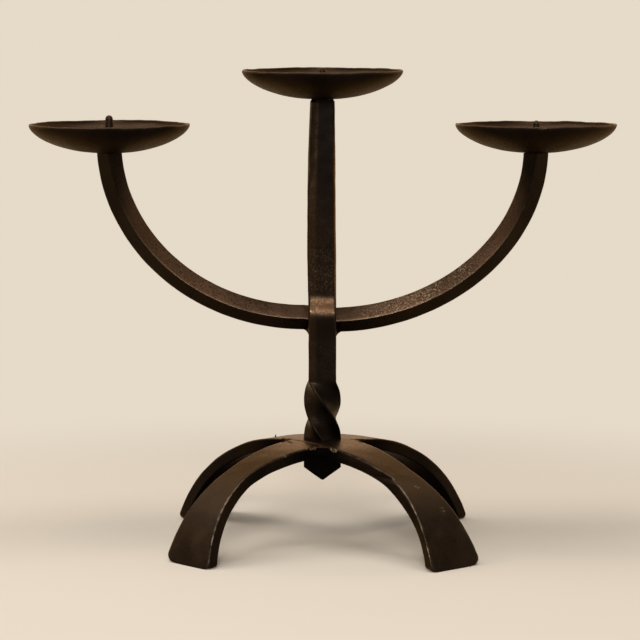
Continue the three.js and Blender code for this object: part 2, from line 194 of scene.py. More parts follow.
def hammered(tree: NodeTree, shape: Node, inputs: dict[str, NodeSocket]) -> Node:
    """Adds hammer marks to a shape: broad soft dents with smaller facets in them.

    Args:
        tree: The tree, with "Mark Depth", "Mark Size" and "Seed" inputs.
        shape: The node whose geometry is marked.
        inputs: The tree's input sockets.

    Returns:
        The node that gives the marked geometry.
    """
    position = add(tree, "GeometryNodeInputPosition")
    scale = add(tree, "ShaderNodeMath", 1.0, inputs["Mark Size"], operation="DIVIDE")
    broad = add(tree, "ShaderNodeTexNoise", position, inputs["Seed"], scale, noise_dimensions="4D",
                at={"Detail": 1.0})
    facets = add(tree, "ShaderNodeTexVoronoi", position, inputs["Seed"], scale, voronoi_dimensions="4D",
                 feature="SMOOTH_F1", at={"Smoothness": 0.35})
    both = add(tree, "ShaderNodeMath", broad, facets.outputs["Distance"], operation="ADD")
    level = add(tree, "ShaderNodeMath", both, MARK_LEVEL, operation="SUBTRACT")
    depth = add(tree, "ShaderNodeMath", level, inputs["Mark Depth"], operation="MULTIPLY")
    normal = add(tree, "GeometryNodeInputNormal")
    offset = add(tree, "ShaderNodeVectorMath", normal, operation="SCALE", at={"Scale": depth})
    return add(tree, "GeometryNodeSetPosition", shape, None, None, offset)


def close_tree(tree: NodeTree, shape: Node, seam: float, inputs: dict[str, NodeSocket]) -> NodeTree:
    """Ends a tree: joins the shape's seams, hammers it, shades it smooth and gives it its finish.

    Args:
        tree: The tree to end.
        shape: The node that gives its shape.
        seam: How near points are when they become one.
        inputs: The tree's input sockets.

    Returns:
        The tree.
    """
    joined = add(tree, "GeometryNodeMergeByDistance", shape, at={"Distance": seam})
    smooth = add(tree, "GeometryNodeSetShadeSmooth", hammered(tree, joined, inputs))
    real = add(tree, "GeometryNodeRealizeInstances", smooth)
    add(tree, "NodeGroupOutput", add(tree, "GeometryNodeSetMaterial", real, None, inputs["Material"]))
    return tree


def forged_bar_tree() -> NodeTree:
    """Makes the tree that sweeps a rounded rectangle along a bar's stations.

    The path's points carry where the bar is and which way its section lies ("center", "across",
    "outward"), its half sizes ("half") and the corner radii at its left and right ("corner"). The
    section's points carry "core", a corner or side of a unit square, and "arc", the direction in
    which the corner's radius is laid off.

    Returns:
        The tree.
    """
    tree, inputs = new_geometry_tree("forged_bar", {"Section": "Object"})
    path = add(tree, "GeometryNodeMeshToCurve", inputs["Geometry"])
    section = add(tree, "GeometryNodeObjectInfo", inputs["Section"])
    outline = add(tree, "GeometryNodeMeshToCurve", section.outputs["Geometry"])
    bar = add(tree, "GeometryNodeCurveToMesh", path, outline, at={"Fill Caps": True})
    center, across, outward, half, corner, core, arc = (
        add(tree, "GeometryNodeInputNamedAttribute", name, data_type="FLOAT_VECTOR")
        for name in ("center", "across", "outward", "half", "corner", "core", "arc"))
    core_xyz = add(tree, "ShaderNodeSeparateXYZ", core)
    corner_xyz = add(tree, "ShaderNodeSeparateXYZ", corner)
    radius = add(tree, "ShaderNodeMapRange", core_xyz.outputs["X"], -1.0, 1.0, corner_xyz.outputs["X"],
                 corner_xyz.outputs["Y"])
    inner = add(tree, "ShaderNodeVectorMath", half, radius, operation="SUBTRACT")
    flat = add(tree, "ShaderNodeVectorMath", core, inner, operation="MULTIPLY")
    rounding = add(tree, "ShaderNodeVectorMath", arc, operation="SCALE", at={"Scale": radius})
    offset = add(tree, "ShaderNodeSeparateXYZ", add(tree, "ShaderNodeVectorMath", flat, rounding))
    aside = add(tree, "ShaderNodeVectorMath", across, operation="SCALE", at={"Scale": offset.outputs["X"]})
    out = add(tree, "ShaderNodeVectorMath", outward, operation="SCALE", at={"Scale": offset.outputs["Y"]})
    place = add(tree, "ShaderNodeVectorMath", center, add(tree, "ShaderNodeVectorMath", aside, out))
    placed = add(tree, "GeometryNodeSetPosition", bar, None, place)
    return close_tree(tree, placed, BAR_SEAM, inputs)


def forged_round_tree() -> NodeTree:
    """Makes the tree that turns a section about an upright axis, with a wavy rim.

    The section lies in the XY plane as radius and height. The rim's wave rises and falls with the
    turn and fades in towards the rim radius. A tilt lowers the side that faces -Y.

    Returns:
        The tree.
    """
    tree, inputs = new_geometry_tree("forged_round", {
        "Steps": "Int", "Center": "Vector", "Rim Radius": "Float", "Wave": "Float",
        "Wave Count": "Float", "Tilt": "Float"})
    position = add(tree, "GeometryNodeInputPosition")
    circle = add(tree, "GeometryNodeCurvePrimitiveCircle", inputs["Steps"], at={"Radius": 1.0})
    turned = add(tree, "GeometryNodeStoreNamedAttribute", circle, None, "turn", position,
                 data_type="FLOAT_VECTOR")
    section = add(tree, "GeometryNodeMeshToCurve", inputs["Geometry"])
    drawn = add(tree, "GeometryNodeStoreNamedAttribute", section, None, "drawn", position,
                data_type="FLOAT_VECTOR")
    shell = add(tree, "GeometryNodeCurveToMesh", turned, drawn)
    turn, place_drawn = (add(tree, "GeometryNodeInputNamedAttribute", name, data_type="FLOAT_VECTOR")
                         for name in ("turn", "drawn"))
    drawn_xyz = add(tree, "ShaderNodeSeparateXYZ", place_drawn)
    turn_xyz = add(tree, "ShaderNodeSeparateXYZ", turn)
    share = add(tree, "ShaderNodeMapRange", drawn_xyz.outputs["X"], 0.0, inputs["Rim Radius"],
                interpolation_type="SMOOTHSTEP")
    ripple = add(tree, "ShaderNodeTexNoise", turn, inputs["Seed"], inputs["Wave Count"],
                 noise_dimensions="4D", at={"Detail": 2.0})
    level = add(tree, "ShaderNodeMath", ripple, NOISE_LEVEL, operation="SUBTRACT")
    wave = add(tree, "ShaderNodeMath", level, inputs["Wave"], operation="MULTIPLY")
    faded = add(tree, "ShaderNodeMath", wave, share, operation="MULTIPLY")
    reach = add(tree, "ShaderNodeMath", faded, drawn_xyz.outputs["X"], operation="ADD")
    around = add(tree, "ShaderNodeVectorMath", turn, operation="SCALE", at={"Scale": reach})
    front = add(tree, "ShaderNodeMath", turn_xyz.outputs["Y"], drawn_xyz.outputs["X"], operation="MULTIPLY")
    lift = add(tree, "ShaderNodeMath", front, inputs["Tilt"], operation="MULTIPLY")
    height = add(tree, "ShaderNodeMath", drawn_xyz.outputs["Y"], faded, operation="ADD")
    height = add(tree, "ShaderNodeMath", height, lift, operation="ADD")
    upright = add(tree, "ShaderNodeCombineXYZ", None, None, height)
    local = add(tree, "ShaderNodeVectorMath", around, upright)
    placed = add(tree, "GeometryNodeSetPosition", shell, None,
                 add(tree, "ShaderNodeVectorMath", local, inputs["Center"]))
    return close_tree(tree, placed, ROUND_SEAM, inputs)


# Finishes


@dataclass(frozen=True)
class IronFinish:
    """Wrought iron blackened in oil and waxed, with its scale, its wear, its flakes, and painted highlight
    and painted shade.

    The colours go from the deep black of thick scale over the warm black of old wax and the brown of a
    painted highlight to the rubbed metal of an edge, and a near-black paints shade and cracks. Pattern
    sizes are real millimetres, and what every finish shares stands in the class variables.
    """

    name: str
    deep: str = "#110d0a"
    warm: str = "#231a13"
    # The brown of the painted highlight, laid where light falls on the faces
    bare: str = "#69503d"
    worn: str = "#8d7c6a"
    sheen: str = "#ffe4c8"
    metallic: float = 0.95
    roughness: float = 0.35
    mottle: float = 24.0
    grain: float = 1.4
    pits: float = 3.0
    bump: float = 0.12
    wear: float = 0.22

    # What all finishes share
    streak: ClassVar[float] = 5.5
    fleck: ClassVar[float] = 1.3
    fleck_color: ClassVar[str] = "#a58c70"
    # Colour, reflection tint and added roughness of painted shade and of cracks
    soot_color: ClassVar[str] = "#070504"
    soot_sheen: ClassVar[str] = "#aea69c"
    soot_dullness: ClassVar[float] = 0.2
    wear_polish: ClassVar[float] = -0.14
    wear_power: ClassVar[float] = 3.0
    smoother: ClassVar[float] = 0.09
    rougher: ClassVar[float] = 0.12
    pit_relief: ClassVar[float] = 0.6
    fleck_relief: ClassVar[float] = 0.5
    relief_depth: ClassVar[float] = 0.6 * MM
    grain_range: ClassVar[Range] = (0.3, 0.7)
    # The noise values between which each pattern grows, and its least and greatest share
    brown_range: ClassVar[tuple[float, ...]] = (0.34, 0.7, 0.0, 1.0)
    speckle_range: ClassVar[tuple[float, ...]] = (0.42, 0.72, 0.0, 0.35)
    streak_range: ClassVar[tuple[float, ...]] = (0.4, 0.66, 0.1, 1.0)
    fleck_range: ClassVar[tuple[float, ...]] = (0.52, 0.64, 0.0, 1.0)

    def material(self) -> Material:
        """Builds the material.

        Returns:
            A material whose patterns lie on Object coordinates and follow the piece's attributes of edge
            wear, painted highlight, flakes and painted glints, and painted shade and cracks.
        """
        material = bpy.data.materials.new(self.name)
        tree = fresh_tree(material)
        where = add(tree, "ShaderNodeTexCoord").outputs["Object"]
        near_edge, thin, flake, soot = (
            add(tree, "ShaderNodeAttribute", attribute_name=name).outputs["Fac"]
            for name in ("edge", "thin", "flake", "soot"))
        # The size, detail and roughness of each noise. Oil-black lies in soft clouds, and forge scale
        # is a crust of grains of about a millimetre and a half. Rubbed streaks are longer, and flecks
        # are as fine as the grains
        patterns = ((self.mottle, 5.0, 0.6), (self.grain, 4.0, 0.65), (self.streak, 4.0, 0.6),
                    (self.fleck, 3.0, 0.7))
        clouds, grain, streaks, flecks = (
            add(tree, "ShaderNodeTexNoise", where, at={
                "Scale": 1 / (size * MM), "Detail": detail, "Roughness": fineness})
            for size, detail, fineness in patterns)
        browned = add(tree, "ShaderNodeMapRange", clouds, *self.brown_range)
        speckled = add(tree, "ShaderNodeMapRange", grain, *self.speckle_range)
        # Hands and cloths rub the edges bright in broken streaks, and the same layer carries painted
        # highlight lines along the front legs' inner edges
        edge = add(tree, "ShaderNodeMath", near_edge, self.wear_power, operation="POWER")
        broken = add(tree, "ShaderNodeMapRange", streaks, *self.streak_range)
        rubbed = add(tree, "ShaderNodeMath", edge, broken, operation="MULTIPLY")
        wear = add(tree, "ShaderNodeMath", rubbed, self.wear, operation="MULTIPLY", use_clamp=True)
        # Scale that has flaked off leaves bright rough flecks, and the same layer carries painted glints
        flecked = add(tree, "ShaderNodeMapRange", flecks, *self.fleck_range)
        flaked = add(tree, "ShaderNodeMath", flake, flecked, operation="MULTIPLY", use_clamp=True)
        # Each layer covers the ones before it. A painted highlight of brown metal lies where light falls.
        #         Painted shade lies under the arches, in the notches, low on the stem and round the welds,
        #         and cracks are as dark; both are dull at every angle
        layers = ((browned, self.warm), (speckled, self.warm), (thin, self.bare), (wear, self.worn),
                  (flaked, self.fleck_color), (soot, self.soot_color))
        color = linear(self.deep)
        for share, cover in layers:
            color = add(tree, "ShaderNodeMix", share, data_type="RGBA",
                        at={COLOR_A: color, COLOR_B: linear(cover)}).outputs[MIXED]
        # Painted shade and cracks also take the tint out of the reflection
        sheen = add(tree, "ShaderNodeMix", soot, data_type="RGBA",
                    at={COLOR_A: linear(self.sheen), COLOR_B: linear(self.soot_sheen)}).outputs[MIXED]
        roughness = add(tree, "ShaderNodeMapRange", grain, *self.grain_range,
                        self.roughness - self.smoother, self.roughness + self.rougher)
        polished = add(tree, "ShaderNodeMath", wear, self.wear_polish, roughness, operation="MULTIPLY_ADD")
        dulled = add(tree, "ShaderNodeMath", soot, self.soot_dullness, polished, operation="MULTIPLY_ADD")
        # Pits where scale was hammered in, about three millimetres apart
        pits = add(tree, "ShaderNodeTexVoronoi", where, feature="SMOOTH_F1", at={
            "Scale": 1 / (self.pits * MM), "Smoothness": 0.6})
        relief = add(tree, "ShaderNodeMath", pits.outputs["Distance"], self.pit_relief, grain,
                     operation="MULTIPLY_ADD")
        raised = add(tree, "ShaderNodeMath", flaked, self.fleck_relief, relief, operation="MULTIPLY_ADD")
        bump = add(tree, "ShaderNodeBump", at={
            "Strength": self.bump, "Distance": self.relief_depth, "Height": raised})
        shader = add(tree, "ShaderNodeBsdfPrincipled", at={
            "Base Color": color, "Metallic": self.metallic, "Roughness": dulled,
            "Specular Tint": sheen, "Normal": bump})
        add(tree, "ShaderNodeOutputMaterial", shader)
        return material


# Square and flat bar straight from the hammer: satin black-brown, rubbed along its edges
FORGED_BAR = IronFinish("blackened_forged_iron_bar", warm="#221b15", bare="#655443", sheen="#ffe1c8")
# The square bar of the stem kept its thick scale and its waxed edges: nearly black
STEM_BAR = IronFinish("thick_scaled_forged_iron_bar", deep="#0c0907", warm="#1c1510", bare="#74502f",
                      sheen="#fff0de", mottle=30.0, roughness=0.3, bump=0.07, wear=0.03)
# The square bar of the arms is drawn smoother, with hardly rubbed edges
ARM_IRON = IronFinish("blackened_drawn_iron_bar", deep="#0e0b08", warm="#1e1610", roughness=0.33,
                      wear=0.15)
# Sheet dished hot over a stump: browner, finer grained than the bars, with a thin rim
DISHED_SHEET = IronFinish("blackened_dished_iron_sheet", warm="#251910", sheen="#ffe5ca", mottle=30.0,
                          grain=1.2, roughness=0.44, bump=0.1, wear=0.03)
# Spikes that candles have rubbed: lighter and browner than the rest
RUBBED_SPIKE = IronFinish("rubbed_forged_iron_spike", deep="#16100c", warm="#2e221a", mottle=5.0,
                          grain=1.0, roughness=0.45)
# Weld metal, brushed and blackened: rough and reddish, with painted shade on its sides in the corners
WELD_BEAD = IronFinish("blackened_weld_metal", deep="#150e0a", warm="#44291b", sheen="#ffd6b8",
                       mottle=6.0, grain=1.4, pits=2.2, roughness=0.5, bump=0.25)


# Meshes


def linked(name: str, data: ID) -> Object:
    """Puts a new object in the scene.

    Args:
        name: Its name.
        data: Its mesh, lamp or camera.

    Returns:
        The object.
    """
    thing = bpy.data.objects.new(name, data)
    bpy.context.scene.collection.objects.link(thing)
    return thing


def store(mesh: Mesh, name: str, values: Iterable) -> None:
    """Stores a value or a vector for each point of a mesh.

    Args:
        mesh: The mesh that gets the attribute.
        name: The attribute's name.
        values: One number or one vector a point.
    """
    rows = np.array([tuple(v) if hasattr(v, "__len__") else (v,) for v in values], float)
    kind = "FLOAT" if rows.shape[1] == 1 else "FLOAT_VECTOR"
    attribute = mesh.attributes.get(name) or mesh.attributes.new(name, kind, "POINT")
    attribute.data.foreach_set("value" if kind == "FLOAT" else "vector", rows.astype(np.float32).ravel())


def line_mesh(name: str, points: Sequence[Vector], closed: bool, **values: Iterable) -> Mesh:
    """Makes a mesh of edges through points.

    Args:
        name: The mesh's name.
        points: The points in order.
        closed: Whether the last point joins the first.
        values: Point attributes by name.

    Returns:
        The mesh.
    """
    mesh = bpy.data.meshes.new(name)
    count = len(points)
    edges = [(start, (start + 1) % count) for start in range(count if closed else count - 1)]
    mesh.from_pydata([tuple(point) for point in points], edges, [])
    for label, rows in values.items():
        store(mesh, label, rows)
    return mesh


def ramp(values: np.ndarray | float, low: float, high: float) -> np.ndarray | float:
    """Returns each value's share of the way from low to high, held between 0 and 1."""
    return np.clip((values - low) / (high - low), 0, 1)


def smoothstep(value: float, low: float, high: float) -> float:
    """Returns the smooth share of a value's way from low to high."""
    share = float(ramp(value, low, high))
    return share * share * (3 - 2 * share)


def mix(first: float, second: float, share: float) -> float:
    """Returns the value at a share of the way from the first to the second."""
    return first + (second - first) * share


def steps(low: float, high: float, step: float) -> list[float]:
    """Returns even steps from low up to high, both among them."""
    count = max(1, math.ceil((high - low) / step))
    return [mix(low, high, index / count) for index in range(count + 1)]


def directions(angle: float) -> tuple[Vector, Vector]:
    """Returns the level direction at an angle and the one to its left."""
    turn = math.radians(angle)
    return Vector((math.cos(turn), math.sin(turn), 0)), Vector((-math.sin(turn), math.cos(turn), 0))


def quarter_turn(count: int) -> list[float]:
    """Returns even angles in radians from 0 to 90 degrees, both among them."""
    return [math.radians(90) * share for share in steps(0, 1, 1 / count)]


def settled(source: Object, name: str) -> Object:
    """Turns an object with live modifiers into one plain mesh whose faces point outwards.

    Args:
        source: The object, which is removed.
        name: The name of the result.

    Returns:
        The plain object, at the origin.
    """
    graph = bpy.context.evaluated_depsgraph_get()
    mesh = bpy.data.meshes.new_from_object(source.evaluated_get(graph), depsgraph=graph)
    mesh.name = name
    shape = bmesh.new()
    shape.from_mesh(mesh)
    bmesh.ops.dissolve_degenerate(shape, edges=shape.edges[:], dist=SLIVER)
    bmesh.ops.recalc_face_normals(shape, faces=shape.faces[:])
    shape.to_mesh(mesh)
    shape.free()
    mesh.set_sharp_from_angle(angle=math.radians(SHARP_ANGLE))
    bpy.data.objects.remove(source)
    return linked(name, mesh)


def carved(piece: Object, *cutters: Object) -> Object:
    """Cuts solids out of a piece.

    Args:
        piece: The piece to cut.
        cutters: The solids, which are removed afterwards.

    Returns:
        The cut piece, under the same name.
    """
    name = piece.name
    for cutter in cutters:
        cut = piece.modifiers.new("cut", "BOOLEAN")
        cut.operation = "DIFFERENCE"
        cut.solver = "MANIFOLD"
        cut.object = cutter
    piece.name = f"{name}_uncut"
    result = settled(piece, name)
    for cutter in cutters:
        bpy.data.objects.remove(cutter)
    return result


def block(center: Vector, size: tuple[float, float, float], angle: float) -> Object:
    """Makes a block that cuts a pocket or a hole.

    Args:
        center: Its middle.
        size: Its lengths along X, Y and Z before it is turned.
        angle: Its turn about Z.

    Returns:
        The block.
    """
    mesh = bpy.data.meshes.new("cutter")
    shape = bmesh.new()
    bmesh.ops.create_cube(shape, size=1.0)
    turn = Matrix.Rotation(math.radians(angle), 4, "Z")
    shape.transform(Matrix.Translation(center) @ turn @ Matrix.Diagonal((*size, 1)))
    shape.to_mesh(mesh)
    shape.free()
    return linked("cutter", mesh)


def kept(piece: Object, slot: Slot, *nodes: str) -> Object:
    """Puts a finished piece in the frame in place of its CAD nodes.

    Args:
        piece: The piece.
        slot: The record's slot for its finish. Not used.
        nodes: The CAD nodes that it stands for.

    Returns:
        The piece.
    """
    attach(piece, BODY)
    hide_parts(*nodes)
    log.info("%s: %d faces, for %s", piece.name, len(piece.data.polygons), ", ".join(nodes))
    return piece


# Wear, painted highlight and painted shade


@dataclass(frozen=True)
class Profile:
    """A value that changes along a line: straight between the given places and level beyond them."""

    places: tuple[float, ...]
    values: tuple[float, ...]

    def at(self, where: np.ndarray | float) -> np.ndarray | float:
        """Returns the value at each place."""
        return np.interp(where, self.places, self.values)


@dataclass(frozen=True)
class Mark:
    """A bright or dark mark, a short line in millimetres from the stem's axis on the table: a scuff, a
    painted glint, a crack or a patch of painted shade.
    """

    start: tuple[float, float, float]
    end: tuple[float, float, float]
    radius: float
    strength: float

    soft_share: ClassVar[float] = 0.6

    def share(self, points: np.ndarray) -> np.ndarray:
        """Works out how strong the mark is at each point.

        Args:
            points: Rows of X, Y and Z in millimetres from the stem's axis on the table.

        Returns:
            A share for each point, which fades out over the outer part of the mark's radius.
        """
        start, line = np.array(self.start), np.array(self.end) - np.array(self.start)
        along = np.clip((points - start) @ line / (line @ line), 0, 1)
        away = np.linalg.norm(points - start - along[:, None] * line, axis=1)
        return self.strength * ramp(self.radius - away, 0, self.soft_share * self.radius)


# Bright scuffs on the legs and the crown, and painted glints along the front weld's top edge, beside the eye
# and on the right pan's rim
SCUFFS_AND_GLINTS = (
    Mark((61.4, -71.4, 48.9), (62.4, -71.4, 48.5), 2.0, 1.0),
    Mark((77.3, -79.2, 36.5), (79.0, -81.5, 33.5), 1.7, 0.6),
    Mark((-26.6, -42.8, 64.4), (-24.5, -41.5, 65.0), 1.7, 1.0),
    Mark((-11.0, -30.4, 67.2), (-5.0, -29.0, 67.4), 1.3, 2.0),
    Mark((-5.0, -29.0, 67.4), (6.0, -30.5, 67.0), 1.1, 1.4),
    Mark((6.0, -30.5, 67.0), (9.5, -33.0, 66.0), 1.4, 2.0),
    Mark((24.8, -1.5, 68.0), (21.0, -4.0, 68.5), 2.2, 0.5),
    Mark((66.0, -84.0, 37.0), (69.0, -91.0, 26.0), 1.3, 0.3),
    Mark((-8.2, -12.6, 156.0), (-8.2, -12.2, 160.0), 1.0, 0.2),
    Mark((7.6, -12.6, 156.5), (7.6, -12.2, 160.5), 1.1, 0.5),
    Mark((141.6, -53.6, 281.6), (149.4, -53.3, 281.6), 1.1, 0.35),
)
# Dark cracks where the side welds end on the crown, and a patch of painted shade that dulls a reflection on
# the twist
CRACKS_AND_SHADE = (
    Mark((-27.0, 6.0, 68.2), (-24.5, -2.0, 68.8), 1.8, 0.8),
    Mark((-24.5, -2.0, 68.8), (-20.5, -12.0, 68.9), 1.5, 0.7),
    Mark((-23.0, 7.0, 68.6), (-21.5, 2.0, 68.9), 1.6, 0.6),
    Mark((23.0, 4.0, 68.8), (25.5, 0.0, 68.6), 1.4, 0.6),
    Mark((-6.0, -10.0, 86.0), (-3.0, -10.5, 80.0), 7.0, 0.65),
)


class Skin:
    """The surface of a finished piece, in millimetres from the stem's axis on the table."""

    def __init__(self, piece: Object) -> None:
        """Reads a piece's points and their normals.

        Args:
            piece: The finished piece.
        """
        self.mesh: Mesh = piece.data
        self.points = (self.rows("co") - np.array(STEM_AXIS)) / MM
        self.normals = self.rows("normal")

    def rows(self, name: str) -> np.ndarray:
        """Reads the place ("co") or the "normal" of every point.

        Args:
            name: Which of the two.

        Returns:
            Rows of X, Y and Z.
        """
        rows = np.zeros(len(self.mesh.vertices) * 3, np.float32)
        self.mesh.vertices.foreach_get(name, rows)
        return rows.reshape(-1, 3).astype(float)

    def move(self) -> None:
        """Writes changed points back to the mesh and reads its normals again."""
        places = self.points * MM + np.array(STEM_AXIS)
        self.mesh.vertices.foreach_set("co", places.astype(np.float32).ravel())
        self.mesh.update()
        self.normals = self.rows("normal")

    def fade(self, name: str, shares: np.ndarray) -> None:
        """Multiplies a number attribute by a share.

        Args:
            name: The attribute's name.
            shares: The share for each point.
        """
        values = np.zeros(len(self.mesh.vertices), np.float32)
        self.mesh.attributes[name].data.foreach_get("value", values)
        store(self.mesh, name, values * shares)

    def marked(self, marks: Sequence[Mark]) -> np.ndarray:
        """Returns the share of the strongest mark at each point."""
        return np.max([mark.share(self.points) for mark in marks], axis=0)

    def age(self, thin: Sequence[np.ndarray] = (), soot: Sequence[np.ndarray] = (),
            flake_and_glint_shares: Sequence[np.ndarray] = (), marks_clear_shade: bool = True) -> None:
        """Stores the piece's painted highlight, its painted shade and cracks, and its flakes, scuffs and
        painted glints. The highest share counts.

        Args:
            thin: Shares of painted highlight.
            soot: Shares of painted shade besides the cracks and the shaded patch.
            flake_and_glint_shares: Shares of flakes besides the scuffs and glints.
            marks_clear_shade: Whether the scuffs and glints take the painted shade away.
        """
        # Scuffs and painted glints join the flakes; cracks and the patch of painted shade join the painted
        # shade
        scuffs_and_glints = self.marked(SCUFFS_AND_GLINTS)
        unmarked = 1 - np.minimum(scuffs_and_glints, 1) if marks_clear_shade else 1
        store(self.mesh, "thin", np.max([0 * scuffs_and_glints, *thin], axis=0))
        store(self.mesh, "soot", unmarked * np.max([self.marked(CRACKS_AND_SHADE), *soot], axis=0))
        store(self.mesh, "flake", np.max([scuffs_and_glints, *flake_and_glint_shares], axis=0))


# Forging


@dataclass(frozen=True)
class Hammering:
    """Hammer marks: how deep they are, how far apart, and which draw of them this piece has."""

    depth: float = 0.3 * MM
    size: float = 11 * MM
    seed: float = 1.0


def forged(line: Mesh, name: str, tree: NodeTree, marks: Hammering, finish: IronFinish,
           inputs: dict[str, object]) -> Object:
    """Makes a line into a forged piece.

    Args:
        line: The line that the tree starts from.
        name: The piece's name.
        tree: The tree.
        marks: The piece's hammer marks.
        finish: Its finish.
        inputs: The values of the inputs that only this tree has, by name.

    Returns:
        The piece as a plain mesh.
    """
    source = linked(f"{name}_line", line)
    modifier = source.modifiers.new(tree.name, "NODES")
    modifier.node_group = tree
    identifiers = {item.name: item.identifier for item in tree.interface.items_tree
                   if item.item_type == "SOCKET" and item.in_out == "INPUT"}
    values = {"Mark Depth": marks.depth, "Mark Size": marks.size, "Seed": marks.seed,
              "Material": finish.material()}
    for label, value in (inputs | values).items():
        modifier[identifiers[label]] = value
    return settled(source, name)


@dataclass(frozen=True)
class Section:
    """Rounded rectangle with this many points on each side and each corner."""

    per_side: int = 9
    per_corner: int = 5

    def make(self) -> Object:
        """Makes the outline, with each point's "core", "arc" and "edge".

        Returns:
            An object that is one closed line.
        """
        cores, arcs, edges = [], [], []
        signs = [Vector((1, 1, 0)), Vector((-1, 1, 0)), Vector((-1, -1, 0)), Vector((1, -1, 0))]
        for corner, sign in enumerate(signs):
            for share in steps(0, 1, 1 / (self.per_corner - 1)):
                angle = math.radians(90) * (corner + share)
                cores.append(sign)
                arcs.append(Vector((math.cos(angle), math.sin(angle), 0)))
                edges.append(1.0)
            for share in steps(0, 1, 1 / (self.per_side + 1))[1:-1]:
                cores.append(sign.lerp(signs[(corner + 1) % 4], share))
                arcs.append(arcs[-1])
                edges.append(0.0)
        points = [core + arc for core, arc in zip(cores, arcs)]
        return linked("section", line_mesh("section", points, True, core=cores, arc=arcs, edge=edges))


@dataclass(frozen=True)
class Station:
    """One place along a bar: its middle, the section's two directions, half sizes and corners."""

    center: Vector
    across: Vector
    outward: Vector
    half_width: float
    half_depth: float
    corner_left: float
    corner_right: float


@dataclass
class ForgedBar:
    """What every bar shares: its section, its hammer marks, its finish and how it is swept."""

    tree: NodeTree
    section: Section = Section()
    hammering: Hammering = Hammering()
    finish: IronFinish = FORGED_BAR

    def sweep(self, name: str, stations: Sequence[Station], grown: float = 0.0) -> Object:
        """Sweeps the section along stations.

        Args:
            name: The piece's name.
            stations: The bar's stations from end to end.
            grown: How far its faces are moved outwards.

        Returns:
            The swept bar as a plain mesh with its finish.
        """
        places = [STEM_AXIS + station.center for station in stations]
        mesh = line_mesh(name, places, False, center=places,
                         across=[station.across for station in stations],
                         outward=[station.outward for station in stations],
                         half=[(s.half_width + grown, s.half_depth + grown, 0) for s in stations],
                         corner=[(s.corner_left, s.corner_right, 0) for s in stations])
        outline = self.section.make()
        bar = forged(mesh, name, self.tree, self.hammering, self.finish, {"Section": outline})
        bpy.data.objects.remove(outline)
        return bar


@dataclass(frozen=True)
class Arm:
    """One arm's side, reach, rise, straight length out of the eye and lift above the bar's height."""

    side: Side
    reach: float
    rise: float
    straight: float
    lift: float


